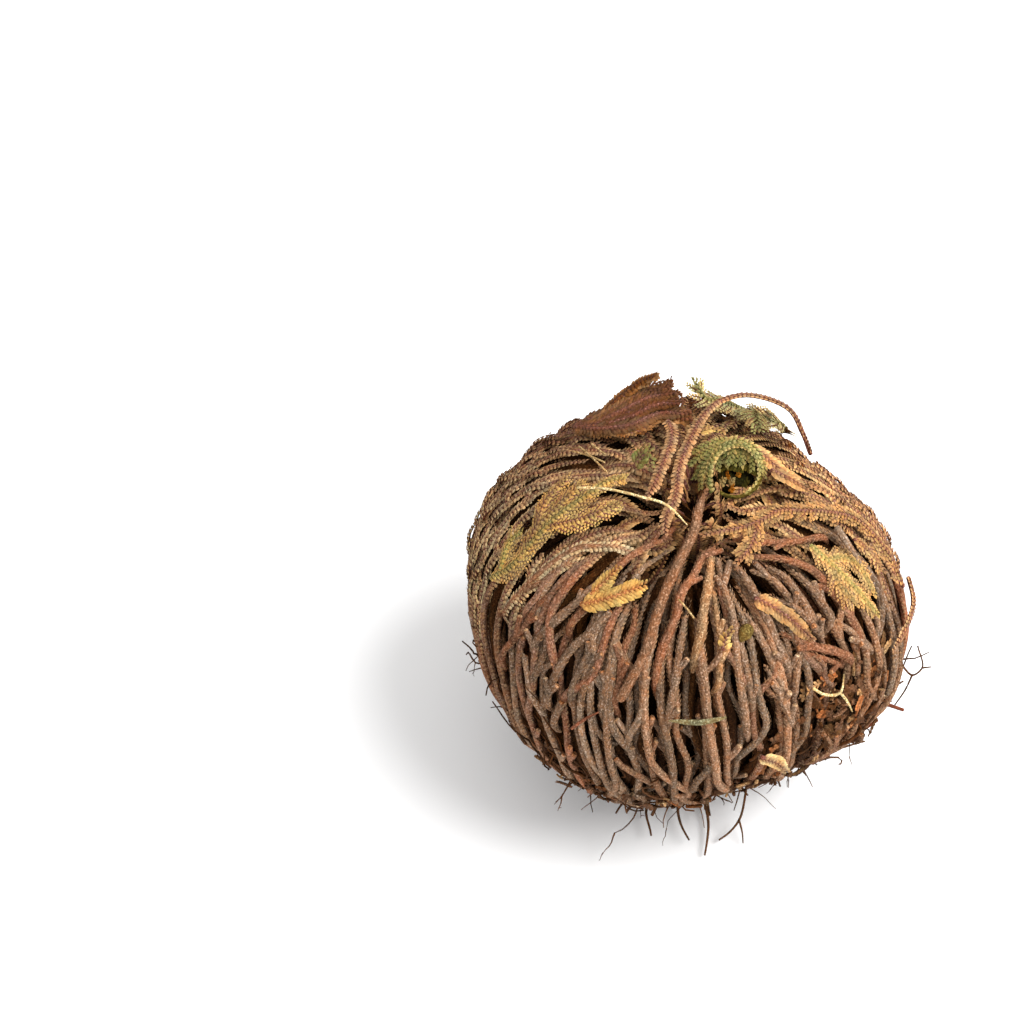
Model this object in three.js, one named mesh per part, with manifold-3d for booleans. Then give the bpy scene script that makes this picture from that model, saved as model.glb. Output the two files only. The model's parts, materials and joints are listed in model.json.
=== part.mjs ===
// Rose of Jericho (Selaginella lepidophylla), dried and rolled up into a ball.
// Millimetres, +Z up. The ball rests on the flat underside of its root crown, at Z = 0, and its
// front, where the bare stems show, faces -Y.
//
// The fronds rise from the crown, bend round the ball and gather near the top. A place on the ball
// is given by its bearing (degrees round the gather, -90 is the front), its reach (degrees from
// the gather at 0 to the crown at 180) and its depth under the skin in millimetres.

import * as THREE from "three";
import { mergeVertices } from "three/addons/utils/BufferGeometryUtils.js";
import Module from "manifold-3d";

const wasm = await Module();
wasm.setup();

// ---------------------------------------------------------------- colours

const BARK = 0x86705f;
const TAN = 0xa58657;
const GOLD = 0xc29a45;
const GREEN = 0x7f8b48;
const BROWN = 0x7b5738;
const STRAW = 0xc9b183;
const DARK = 0x4a3628;

// ---------------------------------------------------------------- the ball

const SEED = 1830;
const BALL_RADIUS = 44;
const BALL_HALF_HEIGHT = 38.5;
const BALL_CENTRE_Z = 41.5;
const CLEARANCE = 0.34;

// The ball's axis stands a little off the middle of the whole part, which is the origin.
const MIDDLE_X = -0.3;
const MIDDLE_Y = 0.2;

// The fronds gather ahead of the ball's top, along a slit that runs from front to back.
const FRONT = -90;
const LEAN_MEAN = 0.07;
const LEAN_SWING = 0.12;

// Going up, the fronds also sweep round the ball towards its back, most of all those at its sides.
const SWEEP = 34;
const SWEEP_BEARING = 20;
const SWEEP_FROM = 130;
const SWEEP_TO = 20;

// Low on the right of the front the stems part round a hollow.
const PARTING = { bearing: -48, reach: 84, push: 9, width: 9, height: 15 };

// Swells and hollows of the ball: direction and spread in degrees, height in millimetres.
const BUMPS = [
  { azimuth: 46, elevation: 31, height: -4.5, spread: 26 },
  { azimuth: -62, elevation: -36, height: -4.5, spread: 24 },
  { azimuth: -50, elevation: 8, height: -2.2, spread: 16 },
  { azimuth: -22, elevation: -12, height: 2, spread: 28 },
  { azimuth: 162, elevation: 16, height: 2.2, spread: 30 },
  { azimuth: -107, elevation: -30, height: 1.6, spread: 28 },
];

// ---------------------------------------------------------------- fronds and scales

const SCALE_PITCH = 4.65;
const SCALE_WIDE = 1.6;
const SCALE_NARROW = 0.85;
const SCALE_THICK = 0.85;
const SCALE_AHEAD = 0.6;

// A stem narrows to this share of its width over the last stretch, in degrees, before its tip.
const TIP_SHARE = 0.4;
const TIP_STRETCH = 22;

// How far a stem strays to its left and right, as a share of its room.
const WANDER = 0.2;
const FORK_LANE = 0.88;
const FORK_WANDER = 0.1;
const FORK_SPREAD = 20;

// The scales begin at this reach on the barest frond and on those at the back.
const BAREST = -78;
const LEAFY_FRONT = 10;
const LEAFY_BACK = 90;

// Stubs stand on the fronds whose scales begin only above this reach.
const BARE_BELOW = 60;
const STUB_RADIUS = 0.95;
const STUB_REACH = 84;
const STUB_SPREAD = 36;
const STUB_ASIDE = 0.34;
const STUB_ALONG = 6;

// Neighbours lie aslant, so they are closer together than their middle lines at one reach.
const ROOM_SHARE = 0.86;

// Each layer of fronds: how many, how deep, and where its stems begin and end.
const OUTER = {
  name: "frond_outer",
  count: 20,
  turn: 4,
  depth: 1.25,
  dive: 6,
  diveFrom: 26,
  radius: 1.25,
  step: 9.2,
  leafy: true,
  tip: 10,
  forks: [{ side: -1, from: 148, to: 20 }, { side: 1, from: 138, to: 25 }],
};
const INNER = {
  name: "frond_inner",
  count: 14,
  turn: 11,
  depth: 3.95,
  dive: 3,
  diveFrom: 60,
  radius: 1.15,
  step: 12.5,
  leafy: false,
  tip: 24,
  forks: [{ side: -1, from: 142, to: 32 }, { side: 1, from: 134, to: 36 }],
};

// What lies over the outer fronds: its depth, and the spacing of its rings.
const OVER_DEPTH = -1.35;
const OVER_PITCH = 2.6;
const OVER_PLAIN_STEP = 4;

// ---------------------------------------------------------------- heart and crown

const HEART_RIDGES = 10;
const HEART_RINGS = 10;
const HEART_DEPTH = 7.2;
const HEART_RIDGE = 2.2;
const HEART_HOLLOW = 7;

const NECK_RADIUS = 11.5;
const NECK_TOP = 10;
const NECK_GAP = 0.55;
const FLAT_RADIUS = 11;
const ROOTLETS = 20;
const ROOTLET_SHORT = 22;
const ROOTLET_EXTRA = 9;
const ROOTLET_LIFT = 4;
const ROOTLET_SWAY = 20;
const ROOTLET_RADIUS = 0.95;
const LONG_ROOTLETS = [
  { azimuth: -6, length: 45.5, lift: 17, sway: 8 },
  { azimuth: -16, length: 39, lift: 6, sway: 6 },
  { azimuth: -72, length: 34, lift: 0, sway: -6 },
  { azimuth: 158, length: 36, lift: 3, sway: 10 },
];

// The curled tips that stand out of the heart, and the rolled green frond in the gather.
const HEART_TIPS = 9;
const HEART_TIP_TURN = 8;
const HEART_TIP_REACH = 8.5;
const HEART_TIP_WIDE = 1.7;
const HEART_TIP_DEPTH = 2.6;
const HEART_TIP_RINGS = 8;
const CURL_CENTRE = new THREE.Vector3(7.8, 3.8, 77.2);
const CURL_RADIUS = 5.1;
const CURL_HALF_WIDTH = 2.4;
const CURL_START = -10;
const CURL_TURNS = 1.4;
const CURL_TIGHTEN = 0.42;
const CURL_NARROW = 0.5;
const CURL_STALK = 4.6;
const CURL_FACE = 50;

// What lies over the outer fronds. Each line is a list of places: bearing, reach and, where it
// leaves the skin, its depth.
const OVERLAYS = [
  {
    name: "stem_over_front",
    color: BARK,
    wide: 1.15,
    plain: true,
    lines: [[[-98, 62], [-93, 45], [-92, 36], [-91, 27], [-88, 17], [-79, 8], [-64, 3], [-37, 3]]],
  },
  {
    name: "branchlet_over_left",
    color: TAN,
    wide: 1.5,
    lines: [[[122, 18], [131, 13], [164, 9], [-159, 8.5], [-143, 9.5], [-133, 12]]],
  },
  {
    name: "frond_arch",
    color: TAN,
    wide: 1.3,
    lines: [[
      [5, 40], [6, 34, -4.5], [12, 30, -7.6], [30, 26, -6.5], [45, 21, -4.6], [58, 16, -2.8],
      [84, 8, -1.8], [-167, 4], [-124, 5], [-112, 9], [-104, 12],
    ]],
  },
  {
    name: "branch_toothed_right",
    color: GOLD,
    wide: 1.9,
    lines: [
      [
        [-19, 69], [-18, 62], [-18, 50], [-19, 44], [-23, 35], [-27, 28], [-31, 22], [-40, 18], [-50, 14],
        [-61, 11], [-71, 10],
      ],
      [[-40, 18], [-51, 20], [-60, 21]],
    ],
  },
  {
    name: "spray_gold_right",
    color: GOLD,
    wide: 1.9,
    lines: [
      [[-36, 33], [-36, 41], [-35, 50], [-33, 61]],
      [[-36, 39], [-32, 43], [-30, 48], [-31, 57]],
      [[-36, 41], [-38, 45], [-37, 53]],
    ],
  },
  {
    name: "stick_right",
    color: BARK,
    wide: 0.9,
    plain: true,
    lines: [[[-27, 38, -2.2], [-29, 41, -2.6], [-31, 46, -3.2]]],
  },
  {
    name: "spray_gold_left",
    color: GOLD,
    wide: 2,
    lines: [
      [[-144, 62], [-139, 53], [-139, 43], [-141, 35], [-144, 27], [-149, 21], [-150, 17]],
      [[-138, 50], [-142, 42], [-148, 39], [-156, 33]],
      [[-142, 41], [-145, 34], [-151, 28]],
      [[-139, 38], [-135, 29], [-135, 19]],
      [[-142, 57], [-145, 51], [-144, 47]],
    ],
  },
  {
    name: "twig_gold_front",
    color: GOLD,
    wide: 1.5,
    lines: [[[-114, 42], [-108, 36], [-99, 27]]],
  },
  {
    name: "straw",
    color: STRAW,
    wide: 0.45,
    plain: true,
    lines: [[[-145, 28, -3.6], [-141, 21, -3.4], [-131, 13, -3.3], [-118, 8, -3.3], [-85, 8, -3.2]]],
  },
  {
    name: "leaflet_green_left",
    color: GREEN,
    wide: 1.5,
    lines: [
      [[-158, 15, -1.6], [-165, 14, -2.8], [-173, 13, -3.4]],
      [[-158, 15, -1.6], [-165, 12, -3.4], [-155, 10.5, -2.6]],
    ],
  },
  {
    name: "clump_green_back",
    color: GREEN,
    wide: 1.7,
    lines: [
      [[40, 40, -0.9], [30, 33, -2.6], [24, 28, -2.6], [16, 26]],
      [[22, 42, -0.9], [17, 36, -2.6], [24, 31, -2.6], [37, 31]],
      [[40, 39, -0.9], [48, 29, -2.4], [62, 25, -3.4], [72, 26, -6.5]],
    ],
  },
  {
    name: "frond_brown_back",
    color: BROWN,
    wide: 2.1,
    lines: [
      [[170, 42], [165, 36], [147, 34, -3.5], [129, 31, -6], [115, 27, -8]],
      [[170, 42], [169, 34], [146, 30, -2.2], [117, 29, -3.5], [97, 28, -6]],
      [[170, 42], [174, 32], [165, 23], [129, 21], [80, 17]],
    ],
  },
  {
    name: "twig_across_front",
    color: BARK,
    wide: 0.9,
    plain: true,
    lines: [[[-87, 66, -1.7], [-80, 66, -1.7], [-74, 65, -1.7]]],
  },
  {
    name: "flake_low_right",
    color: STRAW,
    wide: 1.6,
    lines: [[[-67, 84, -1.2], [-63, 88, -1.5], [-60, 93, -2]]],
  },
  {
    name: "strand_right",
    color: TAN,
    wide: 1.2,
    lines: [[[-13, 73], [-18, 74, -2.2], [-23, 74, -2.2], [-31, 75]]],
  },
];

// ---------------------------------------------------------------- small maths

const DEG = Math.PI / 180;
const cosDeg = (angle) => Math.cos(angle * DEG);
const sinDeg = (angle) => Math.sin(angle * DEG);

function ease(from, to, value) {
  const t = Math.min(1, Math.max(0, (value - from) / (to - from)));
  return t * t * (3 - 2 * t);
}

// A seeded dice, so that the same fronds grow on every run.
function dice(seed) {
  let state = seed % 2147483647;
  return () => {
    state = (state * 48271) % 2147483647;
    return state / 2147483647;
  };
}

// ---------------------------------------------------------------- the ball's skin

function heading(azimuth, elevation) {
  const level = cosDeg(elevation);
  return new THREE.Vector3(level * cosDeg(azimuth), level * sinDeg(azimuth), sinDeg(elevation));
}

function bumpHeight(direction) {
  let height = 0;
  for (const bump of BUMPS) {
    const apart = direction.angleTo(heading(bump.azimuth, bump.elevation)) / DEG;
    height += bump.height * Math.exp(-((apart / bump.spread) ** 2));
  }
  return height;
}

function skinToward(direction, depth) {
  const rise = bumpHeight(direction) - depth;
  const point = direction.clone().multiplyScalar(BALL_RADIUS + rise);
  point.z = BALL_CENTRE_Z + direction.z * (BALL_HALF_HEIGHT + rise);
  return point;
}

function skin(bearing, reach, depth, slit = 1) {
  const sweep = SWEEP * cosDeg(bearing - SWEEP_BEARING) * ease(SWEEP_FROM, SWEEP_TO, reach);
  const aside = (bearing - PARTING.bearing) / PARTING.width;
  const along = (reach - PARTING.reach) / PARTING.height;
  let around = bearing + sweep * slit;
  around += PARTING.push * aside * slit * Math.exp(-aside * aside - along * along);
  const lean = LEAN_MEAN + LEAN_SWING * slit * cosDeg(around - FRONT);
  const direction = heading(around, 90 - reach);
  direction.y -= (lean * (1 + cosDeg(reach))) / 2;
  return skinToward(direction.normalize(), depth);
}

function outward(point) {
  const flat = (BALL_RADIUS / BALL_HALF_HEIGHT) ** 2;
  return new THREE.Vector3(point.x, point.y, (point.z - BALL_CENTRE_Z) * flat).normalize();
}

// ---------------------------------------------------------------- solids

function solid(geometry) {
  geometry.deleteAttribute("normal");
  geometry.deleteAttribute("uv");
  const merged = mergeVertices(geometry, 1e-5);
  return new wasm.Manifold(new wasm.Mesh({
    numProp: 3,
    vertProperties: new Float32Array(merged.attributes.position.array),
    triVerts: new Uint32Array(merged.index.array),
  }));
}

// The outer shell of bodies that run into each other: pockets closed in between them are filled.
function join(bodies) {
  const shells = wasm.Manifold.union(bodies).decompose();
  return shells.reduce((largest, shell) => (shell.volume() > largest.volume() ? shell : largest));
}

function node(name, body, color) {
  const mesh = body.getMesh();
  const geometry = new THREE.BufferGeometry();
  geometry.setAttribute("position", new THREE.BufferAttribute(mesh.vertProperties, 3));
  geometry.setIndex(new THREE.BufferAttribute(mesh.triVerts, 1));
  geometry.computeVertexNormals();
  const material = new THREE.MeshStandardMaterial({ color, roughness: 0.9, metalness: 0 });
  const part = new THREE.Mesh(geometry, material);
  part.name = name;
  return part;
}

// A closed cylinder bent along its rings. A ring has its centre, its half widths to the left and
// right, its half thickness, and how far its edges lie ahead of its middle.
function limb(rings, { sides = 3, up = outward } = {}) {
  const steps = rings.length - 1;
  const tube = new THREE.CylinderGeometry(1, 1, 1, sides, steps);
  const corner = sides === 3 ? sinDeg(60) : 1;
  const place = tube.attributes.position;
  const frames = rings.map(({ centre }, i) => {
    const before = rings[Math.max(0, i - 1)].centre;
    const after = rings[Math.min(steps, i + 1)].centre;
    const along = after.clone().sub(before).normalize();
    const across = along.clone().cross(up(centre)).normalize();
    return { along, across, over: across.clone().cross(along) };
  });
  for (let v = 0; v < place.count; v += 1) {
    const i = Math.round((place.getY(v) + 0.5) * steps);
    const ring = rings[i];
    const x = place.getX(v) / corner;
    const point = ring.centre.clone();
    point.addScaledVector(frames[i].across, x * (x > 0 ? ring.right : ring.left));
    point.addScaledVector(frames[i].over, place.getZ(v) * ring.thick);
    point.addScaledVector(frames[i].along, Math.abs(x) * ring.ahead);
    place.setXYZ(v, point.x, point.y, point.z);
  }
  return solid(tube);
}

const roundRing = (centre, radius) => ({ centre, left: radius, right: radius, thick: radius, ahead: 0 });

// One ring of a leafy branchlet: its scales stand out left and right in turn and point forward.
function scaleRing(centre, number, wide, thick = SCALE_THICK) {
  const narrow = (wide * SCALE_NARROW) / SCALE_WIDE;
  const odd = number % 2 === 1;
  return { centre, left: odd ? wide : narrow, right: odd ? narrow : wide, thick, ahead: SCALE_AHEAD };
}

// ---------------------------------------------------------------- fronds of the two layers

// Where the scales begin: the front stems are bare up to the gather.
function leafyFrom(bearing) {
  const off = Math.acos(cosDeg(bearing - BAREST)) / DEG;
  return LEAFY_FRONT + (LEAFY_BACK - LEAFY_FRONT) * ease(20, 85, off);
}

// Half the room, in millimetres, between a frond's middle line and its neighbours'.
function halfRoom(layer, bearing, reach, depth) {
  const half = 180 / layer.count;
  const middle = skin(bearing, reach, depth);
  const left = skin(bearing - half, reach, depth).distanceTo(middle);
  const right = skin(bearing + half, reach, depth).distanceTo(middle);
  return Math.min(left, right) * ROOM_SHARE - CLEARANCE / 2;
}

// The reach at which a line of the layer meets the crown's neck.
function reachAtNeck(bearing, depth) {
  let low = 120;
  let high = 178;
  for (let i = 0; i < 30; i += 1) {
    const middle = (low + high) / 2;
    const point = skin(bearing, middle, depth);
    if (Math.hypot(point.x, point.y) > NECK_RADIUS + NECK_GAP) low = middle;
    else high = middle;
  }
  return low;
}

// The stems of one frond. A lane is a stem's place between the frond's two neighbours, -1 to 1.
function frondStems(layer, bearing, random) {
  const phase = random() * 360;
  const wander = (reach) => WANDER * sinDeg(phase + reach * 2.1);
  const stems = [{
    from: reachAtNeck(bearing, layer.depth),
    to: layer.tip + 5 * random(),
    lane: wander,
  }];
  for (const { side, from, to } of layer.forks) {
    const parting = from - 16 * random();
    const lane = (reach) => {
      const parted = ease(parting, parting - FORK_SPREAD, reach);
      const aside = side * (FORK_LANE + FORK_WANDER * sinDeg(phase + reach * 3));
      return wander(reach) * (1 - parted) + aside * parted;
    };
    stems.push({ from: parting, to: to + 10 * random(), lane });
  }
  return stems;
}

function stemRings(layer, bearing, stem) {
  const half = 180 / layer.count;
  const rings = [];
  const addRing = (reach, leafy) => {
    const depth = layer.depth + layer.dive * ease(layer.diveFrom, 12, reach);
    const taper = TIP_SHARE + (1 - TIP_SHARE) * ease(0, TIP_STRETCH, reach - stem.to);
    const room = halfRoom(layer, bearing, reach, depth);
    const wide = Math.min(room, taper * (leafy ? SCALE_WIDE : layer.radius));
    const lane = (1 - wide / room) * stem.lane(reach);
    const centre = skin(bearing + lane * half, reach, depth);
    const thick = taper * (leafy ? SCALE_THICK : layer.radius);
    rings.push(leafy ? scaleRing(centre, rings.length, wide, thick) : roundRing(centre, wide));
  };
  const leafyBelow = layer.leafy ? leafyFrom(bearing) : 0;
  let reach = stem.from;
  while (reach > stem.to) {
    const leafy = reach < leafyBelow;
    addRing(reach, leafy);
    reach -= (leafy ? SCALE_PITCH : layer.step) / BALL_RADIUS / DEG;
  }
  addRing(stem.to, false);
  return rings;
}

// The stub of a side stem that has broken off.
function stub(layer, bearing, lane, reach) {
  const half = 180 / layer.count;
  const root = skin(bearing + lane * half, reach, layer.depth);
  const end = skin(bearing + (lane + STUB_ASIDE) * half, reach - STUB_ALONG, layer.depth - 0.3);
  return limb([roundRing(root, STUB_RADIUS), roundRing(end, STUB_RADIUS * 0.8)]);
}

const frondBearing = (layer, index) => layer.turn + (360 * index) / layer.count;
const isBare = (layer, bearing) => !layer.leafy || leafyFrom(bearing) < BARE_BELOW;
const frondColor = (layer, index) => (isBare(layer, frondBearing(layer, index)) ? BARK : TAN);

function layerFrond(layer, index) {
  const bearing = frondBearing(layer, index);
  const random = dice(SEED + index * 97 + layer.count * 1301);
  const stems = frondStems(layer, bearing, random);
  const limbs = stems.map((stem) => limb(stemRings(layer, bearing, stem)));
  if (layer.leafy && isBare(layer, bearing)) {
    const reach = STUB_REACH + STUB_SPREAD * random();
    limbs.push(stub(layer, bearing, stems[0].lane(reach), reach));
  }
  return join(limbs);
}

// ---------------------------------------------------------------- heart and crown

// The rolled-up inner fronds: a ridged core, with curled leafy tips that stand out of it.
function heart() {
  const segments = 2 * HEART_RIDGES;
  const ball = new THREE.SphereGeometry(1, segments, HEART_RINGS);
  const place = ball.attributes.position;
  for (let v = 0; v < place.count; v += 1) {
    const bearing = -Math.atan2(place.getZ(v), place.getX(v)) / DEG;
    const reach = Math.acos(place.getY(v)) / DEG;
    const groove = Math.abs(Math.round((bearing * segments) / 360)) % 2;
    const ridge = HEART_RIDGE * groove * ease(6, 24, reach) * ease(176, 150, reach);
    const depth = HEART_DEPTH + ridge + HEART_HOLLOW * ease(70, 25, reach);
    const point = skin(bearing, reach, depth, 0);
    place.setXYZ(v, point.x, point.y, point.z);
  }
  const bodies = [solid(ball)];
  for (let i = 0; i < HEART_TIPS; i += 1) {
    bodies.push(heartTip(HEART_TIP_TURN + (360 * i) / HEART_TIPS));
  }
  return join(bodies);
}

// A tip rises out of the hollow and curls over towards the middle of the gather.
function heartTip(bearing) {
  const low = HEART_DEPTH + HEART_HOLLOW + 1;
  const rings = Array.from({ length: HEART_TIP_RINGS + 1 }, (_, i) => {
    const t = i / HEART_TIP_RINGS;
    const depth = low - (low - HEART_TIP_DEPTH) * sinDeg(135 * t);
    const reach = HEART_TIP_REACH * (1 - 0.7 * t ** 3);
    return scaleRing(skin(bearing, reach, depth), i, HEART_TIP_WIDE * (1 - 0.5 * t * t));
  });
  const spoke = skin(bearing, 40, 0, 0).sub(skin(bearing, 2, 0, 0)).normalize();
  return limb(rings, { up: () => spoke });
}

function crown() {
  const outline = [
    [0, 0], [FLAT_RADIUS, 0], [FLAT_RADIUS + 1.8, 0.9], [FLAT_RADIUS + 2.2, 2.3],
    [NECK_RADIUS, 4], [NECK_RADIUS, 9.2], [NECK_RADIUS - 1, NECK_TOP], [0, NECK_TOP],
  ].map(([radius, height]) => new THREE.Vector2(radius, height));
  const turned = new THREE.LatheGeometry(outline, 16);
  turned.rotateX(Math.PI / 2);
  const random = dice(SEED);
  const bodies = [solid(turned)];
  for (let i = 0; i < ROOTLETS; i += 1) {
    const azimuth = ((i + 0.6 * random()) * 360) / ROOTLETS;
    const length = ROOTLET_SHORT + ROOTLET_EXTRA * random();
    const lift = ROOTLET_LIFT * random();
    const sway = ROOTLET_SWAY * (random() - 0.5);
    bodies.push(rootlet({ azimuth, length, lift, sway }));
  }
  return join([...bodies, ...LONG_ROOTLETS.map(rootlet)]);
}

function rootlet({ azimuth, length, lift, sway }) {
  const start = FLAT_RADIUS - 1;
  const rings = [0, 1, 2, 3].map((i) => {
    const t = i / 3;
    const out = start + (length - start) * t;
    const turn = azimuth + sway * t * t;
    const radius = ROOTLET_RADIUS * (1 - 0.58 * t);
    const height = radius + 0.95 - 0.35 * t + lift * t * t;
    return roundRing(new THREE.Vector3(out * cosDeg(turn), out * sinDeg(turn), height), radius);
  });
  return limb(rings, { up: () => new THREE.Vector3(0, 0, 1) });
}

// ---------------------------------------------------------------- what lies over the fronds

// Points spaced evenly along a smooth line through a list of places.
function track(places, step) {
  const points = places.map(([bearing, reach, depth = OVER_DEPTH]) => skin(bearing, reach, depth));
  const line = new THREE.CatmullRomCurve3(points);
  return line.getSpacedPoints(Math.max(3, Math.round(line.getLength() / step)));
}

function overlay({ wide, plain, lines }) {
  const limbs = lines.map((places) => {
    const points = track(places, plain ? OVER_PLAIN_STEP : OVER_PITCH);
    const last = points.length - 1;
    const rings = points.map((centre, i) => {
      const taper = 0.35 + 0.65 * ease(-0.5, 2.5, last - i);
      if (plain) return roundRing(centre, wide * taper);
      return scaleRing(centre, i, wide * taper, SCALE_THICK * taper);
    });
    return limb(rings, { sides: 4 });
  });
  return join(limbs);
}

// A frond rolled up like a watch spring that faces the front, with leaflets fanned out to its left.
function greenCurl() {
  const right = new THREE.Vector3(1, 0, 0);
  const face = new THREE.Vector3(0, -cosDeg(CURL_FACE), sinDeg(CURL_FACE));
  const rise = face.clone().cross(right);
  const fromMiddle = (angle, radius) => CURL_CENTRE.clone()
    .addScaledVector(right, radius * cosDeg(angle))
    .addScaledVector(rise, radius * sinDeg(angle));
  const up = (point) => {
    const spoke = point.clone().sub(CURL_CENTRE);
    return spoke.addScaledVector(face, -spoke.dot(face)).normalize();
  };
  const steps = 20;
  const rings = Array.from({ length: steps + 1 }, (_, i) => {
    const t = i / steps;
    const stalk = Math.max(0, 1 - 8 * t);
    const radius = CURL_RADIUS * (1 - CURL_TIGHTEN * t) + CURL_STALK * stalk;
    const wide = CURL_HALF_WIDTH * (1 - CURL_NARROW * t) * (1 - 0.55 * stalk);
    return scaleRing(fromMiddle(CURL_START + CURL_TURNS * 360 * t, radius), i, wide, 0.5);
  });
  return limb(rings, { sides: 4, up });
}

// ---------------------------------------------------------------- assembly

const rose = new THREE.Group();
rose.add(node("root_crown", crown(), DARK));
rose.add(node("heart", heart(), BROWN));
for (const layer of [OUTER, INNER]) {
  for (let i = 0; i < layer.count; i += 1) {
    const number = String(i + 1).padStart(2, "0");
    rose.add(node(`${layer.name}_${number}`, layerFrond(layer, i), frondColor(layer, i)));
  }
}
for (const piece of OVERLAYS) rose.add(node(piece.name, overlay(piece), piece.color));
rose.add(node("frond_green_curl", greenCurl(), GREEN));
rose.position.set(MIDDLE_X, MIDDLE_Y, 0);

export default rose;
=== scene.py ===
"""Looks of a dried rose of Jericho (Selaginella lepidophylla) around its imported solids.

A place on the ball is its bearing (degrees round the gather, -90 is the front), its reach (degrees
from the gather at 0 to the root crown at 180) and its depth under the skin. Lengths are millimetres
in the ball's own frame until a piece is made, which moves them to the part's frame in metres.
"""

import json

import bpy
import numpy as np
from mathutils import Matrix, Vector

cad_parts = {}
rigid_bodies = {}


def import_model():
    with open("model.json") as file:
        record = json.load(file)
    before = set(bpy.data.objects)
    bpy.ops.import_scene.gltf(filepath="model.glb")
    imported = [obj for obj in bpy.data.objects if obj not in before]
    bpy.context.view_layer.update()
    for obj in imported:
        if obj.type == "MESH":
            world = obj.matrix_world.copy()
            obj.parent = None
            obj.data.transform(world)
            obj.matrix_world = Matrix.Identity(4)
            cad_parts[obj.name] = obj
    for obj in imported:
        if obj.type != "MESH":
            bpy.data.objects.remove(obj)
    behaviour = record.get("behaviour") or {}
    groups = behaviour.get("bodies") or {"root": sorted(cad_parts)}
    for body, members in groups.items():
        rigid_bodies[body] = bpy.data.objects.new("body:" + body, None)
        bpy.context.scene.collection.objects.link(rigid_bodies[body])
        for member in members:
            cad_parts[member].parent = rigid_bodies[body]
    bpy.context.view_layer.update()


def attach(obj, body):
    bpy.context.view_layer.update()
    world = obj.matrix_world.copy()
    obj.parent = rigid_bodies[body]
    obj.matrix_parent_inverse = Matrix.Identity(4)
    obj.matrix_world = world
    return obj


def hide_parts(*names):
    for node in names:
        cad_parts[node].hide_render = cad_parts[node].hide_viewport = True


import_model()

MM = 0.001
# Where the ball's axis stands in the part's frame.
MIDDLE = np.array([-0.3, 0.2, 0.0])

# ---------------------------------------------------------------- colours


def colour(code):
    """A linear colour from its sRGB code."""
    srgb = np.array([(code >> shift) & 255 for shift in (16, 8, 0)]) / 255
    return np.where(srgb < 0.04045, srgb / 12.92, ((srgb + 0.055) / 1.055) ** 2.4)


BARK = colour(0x7C563C)
BARK_GREY = colour(0x846A54)
BARK_RED = colour(0x7E4A32)
# Dark bark; mixed with SHADE it is also the painted shade of the inner mat, the heart and the litter.
BARK_DARK = colour(0x46280F)
SCALE = colour(0xC09A72)
MIDRIB = colour(0x74483A)
TAN = colour(0xD0A06C)
SAND = colour(0xD9B484)
GOLD = colour(0xD4A464)
YELLOW = colour(0xDCB466)
GREEN = colour(0x8C8E4C)
PALE_GREEN = colour(0xDACB94)
DEEP_GREEN = colour(0x46521E)
BROWN = colour(0x784A1E)
STRAW = colour(0xD9B980)
BROKEN = colour(0xA8683C)
ROOT = colour(0x5A3E2A)
SHADE = colour(0x221208)
SAGE = colour(0x746848)
DUN = colour(0xD2B68A)
ORANGE = colour(0xD88A2A)
RED_ROOT = colour(0x6E3C2A)

# ---------------------------------------------------------------- the ball

SEED = 1830
BALL_RADIUS = 44.0
BALL_HALF_HEIGHT = 38.5
BALL_CENTRE_Z = 41.5
FRONT = -90
# How far the gather leans to the front: in all directions, and by bearing.
LEAN_MEAN = 0.07
LEAN_SWING = 0.12
# How far the stems drift round the ball on their way up: degrees, where most, and between which reaches.
SWEEP = 34
SWEEP_BEARING = 20
SWEEP_FROM = 130
SWEEP_TO = 20
# Where the stems part on the right: bearing, reach, width and height; and how far they are pushed.
PARTING = (-48, 84, 9, 15)
PARTING_PUSH = 9

# Swells and hollows: azimuth, elevation and spread in degrees, height in millimetres.
BUMPS = (
    (46, 31, -4.5, 26),
    (-62, -36, -4.5, 24),
    (-50, 8, -2.2, 16),
    (-22, -12, 2, 28),
    (162, 16, 2.2, 30),
    (-107, -30, 1.6, 28),
)


def ease(start, end, value):
    """0 before the start, 1 past the end and a smooth step between them."""
    t = np.clip((np.asarray(value, float) - start) / (end - start), 0, 1)
    return t * t * (3 - 2 * t)


def cos_deg(angle):
    return np.cos(np.radians(angle))


def sin_deg(angle):
    return np.sin(np.radians(angle))


def unit(vectors):
    return vectors / np.maximum(np.linalg.norm(vectors, axis=-1, keepdims=True), 1e-9)


def mix(a, b, share):
    return a * (1 - share) + b * share


def heading(azimuth, elevation):
    level = cos_deg(elevation)
    return np.stack([level * cos_deg(azimuth), level * sin_deg(azimuth), sin_deg(elevation)], -1)


def bump_height(direction):
    height = 0.0
    for azimuth, elevation, rise, spread in BUMPS:
        apart = np.degrees(np.arccos(np.clip(direction @ heading(azimuth, elevation), -1, 1)))
        height = height + rise * np.exp(-((apart / spread) ** 2))
    return height


def nearness(bearing, reach, place):
    """1 at a place and less away from it. The place is a bearing, a reach, a width and a height."""
    where, high, wide, tall = place
    return np.exp(-(((bearing - where) / wide) ** 2) - ((reach - high) / tall) ** 2)


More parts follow.
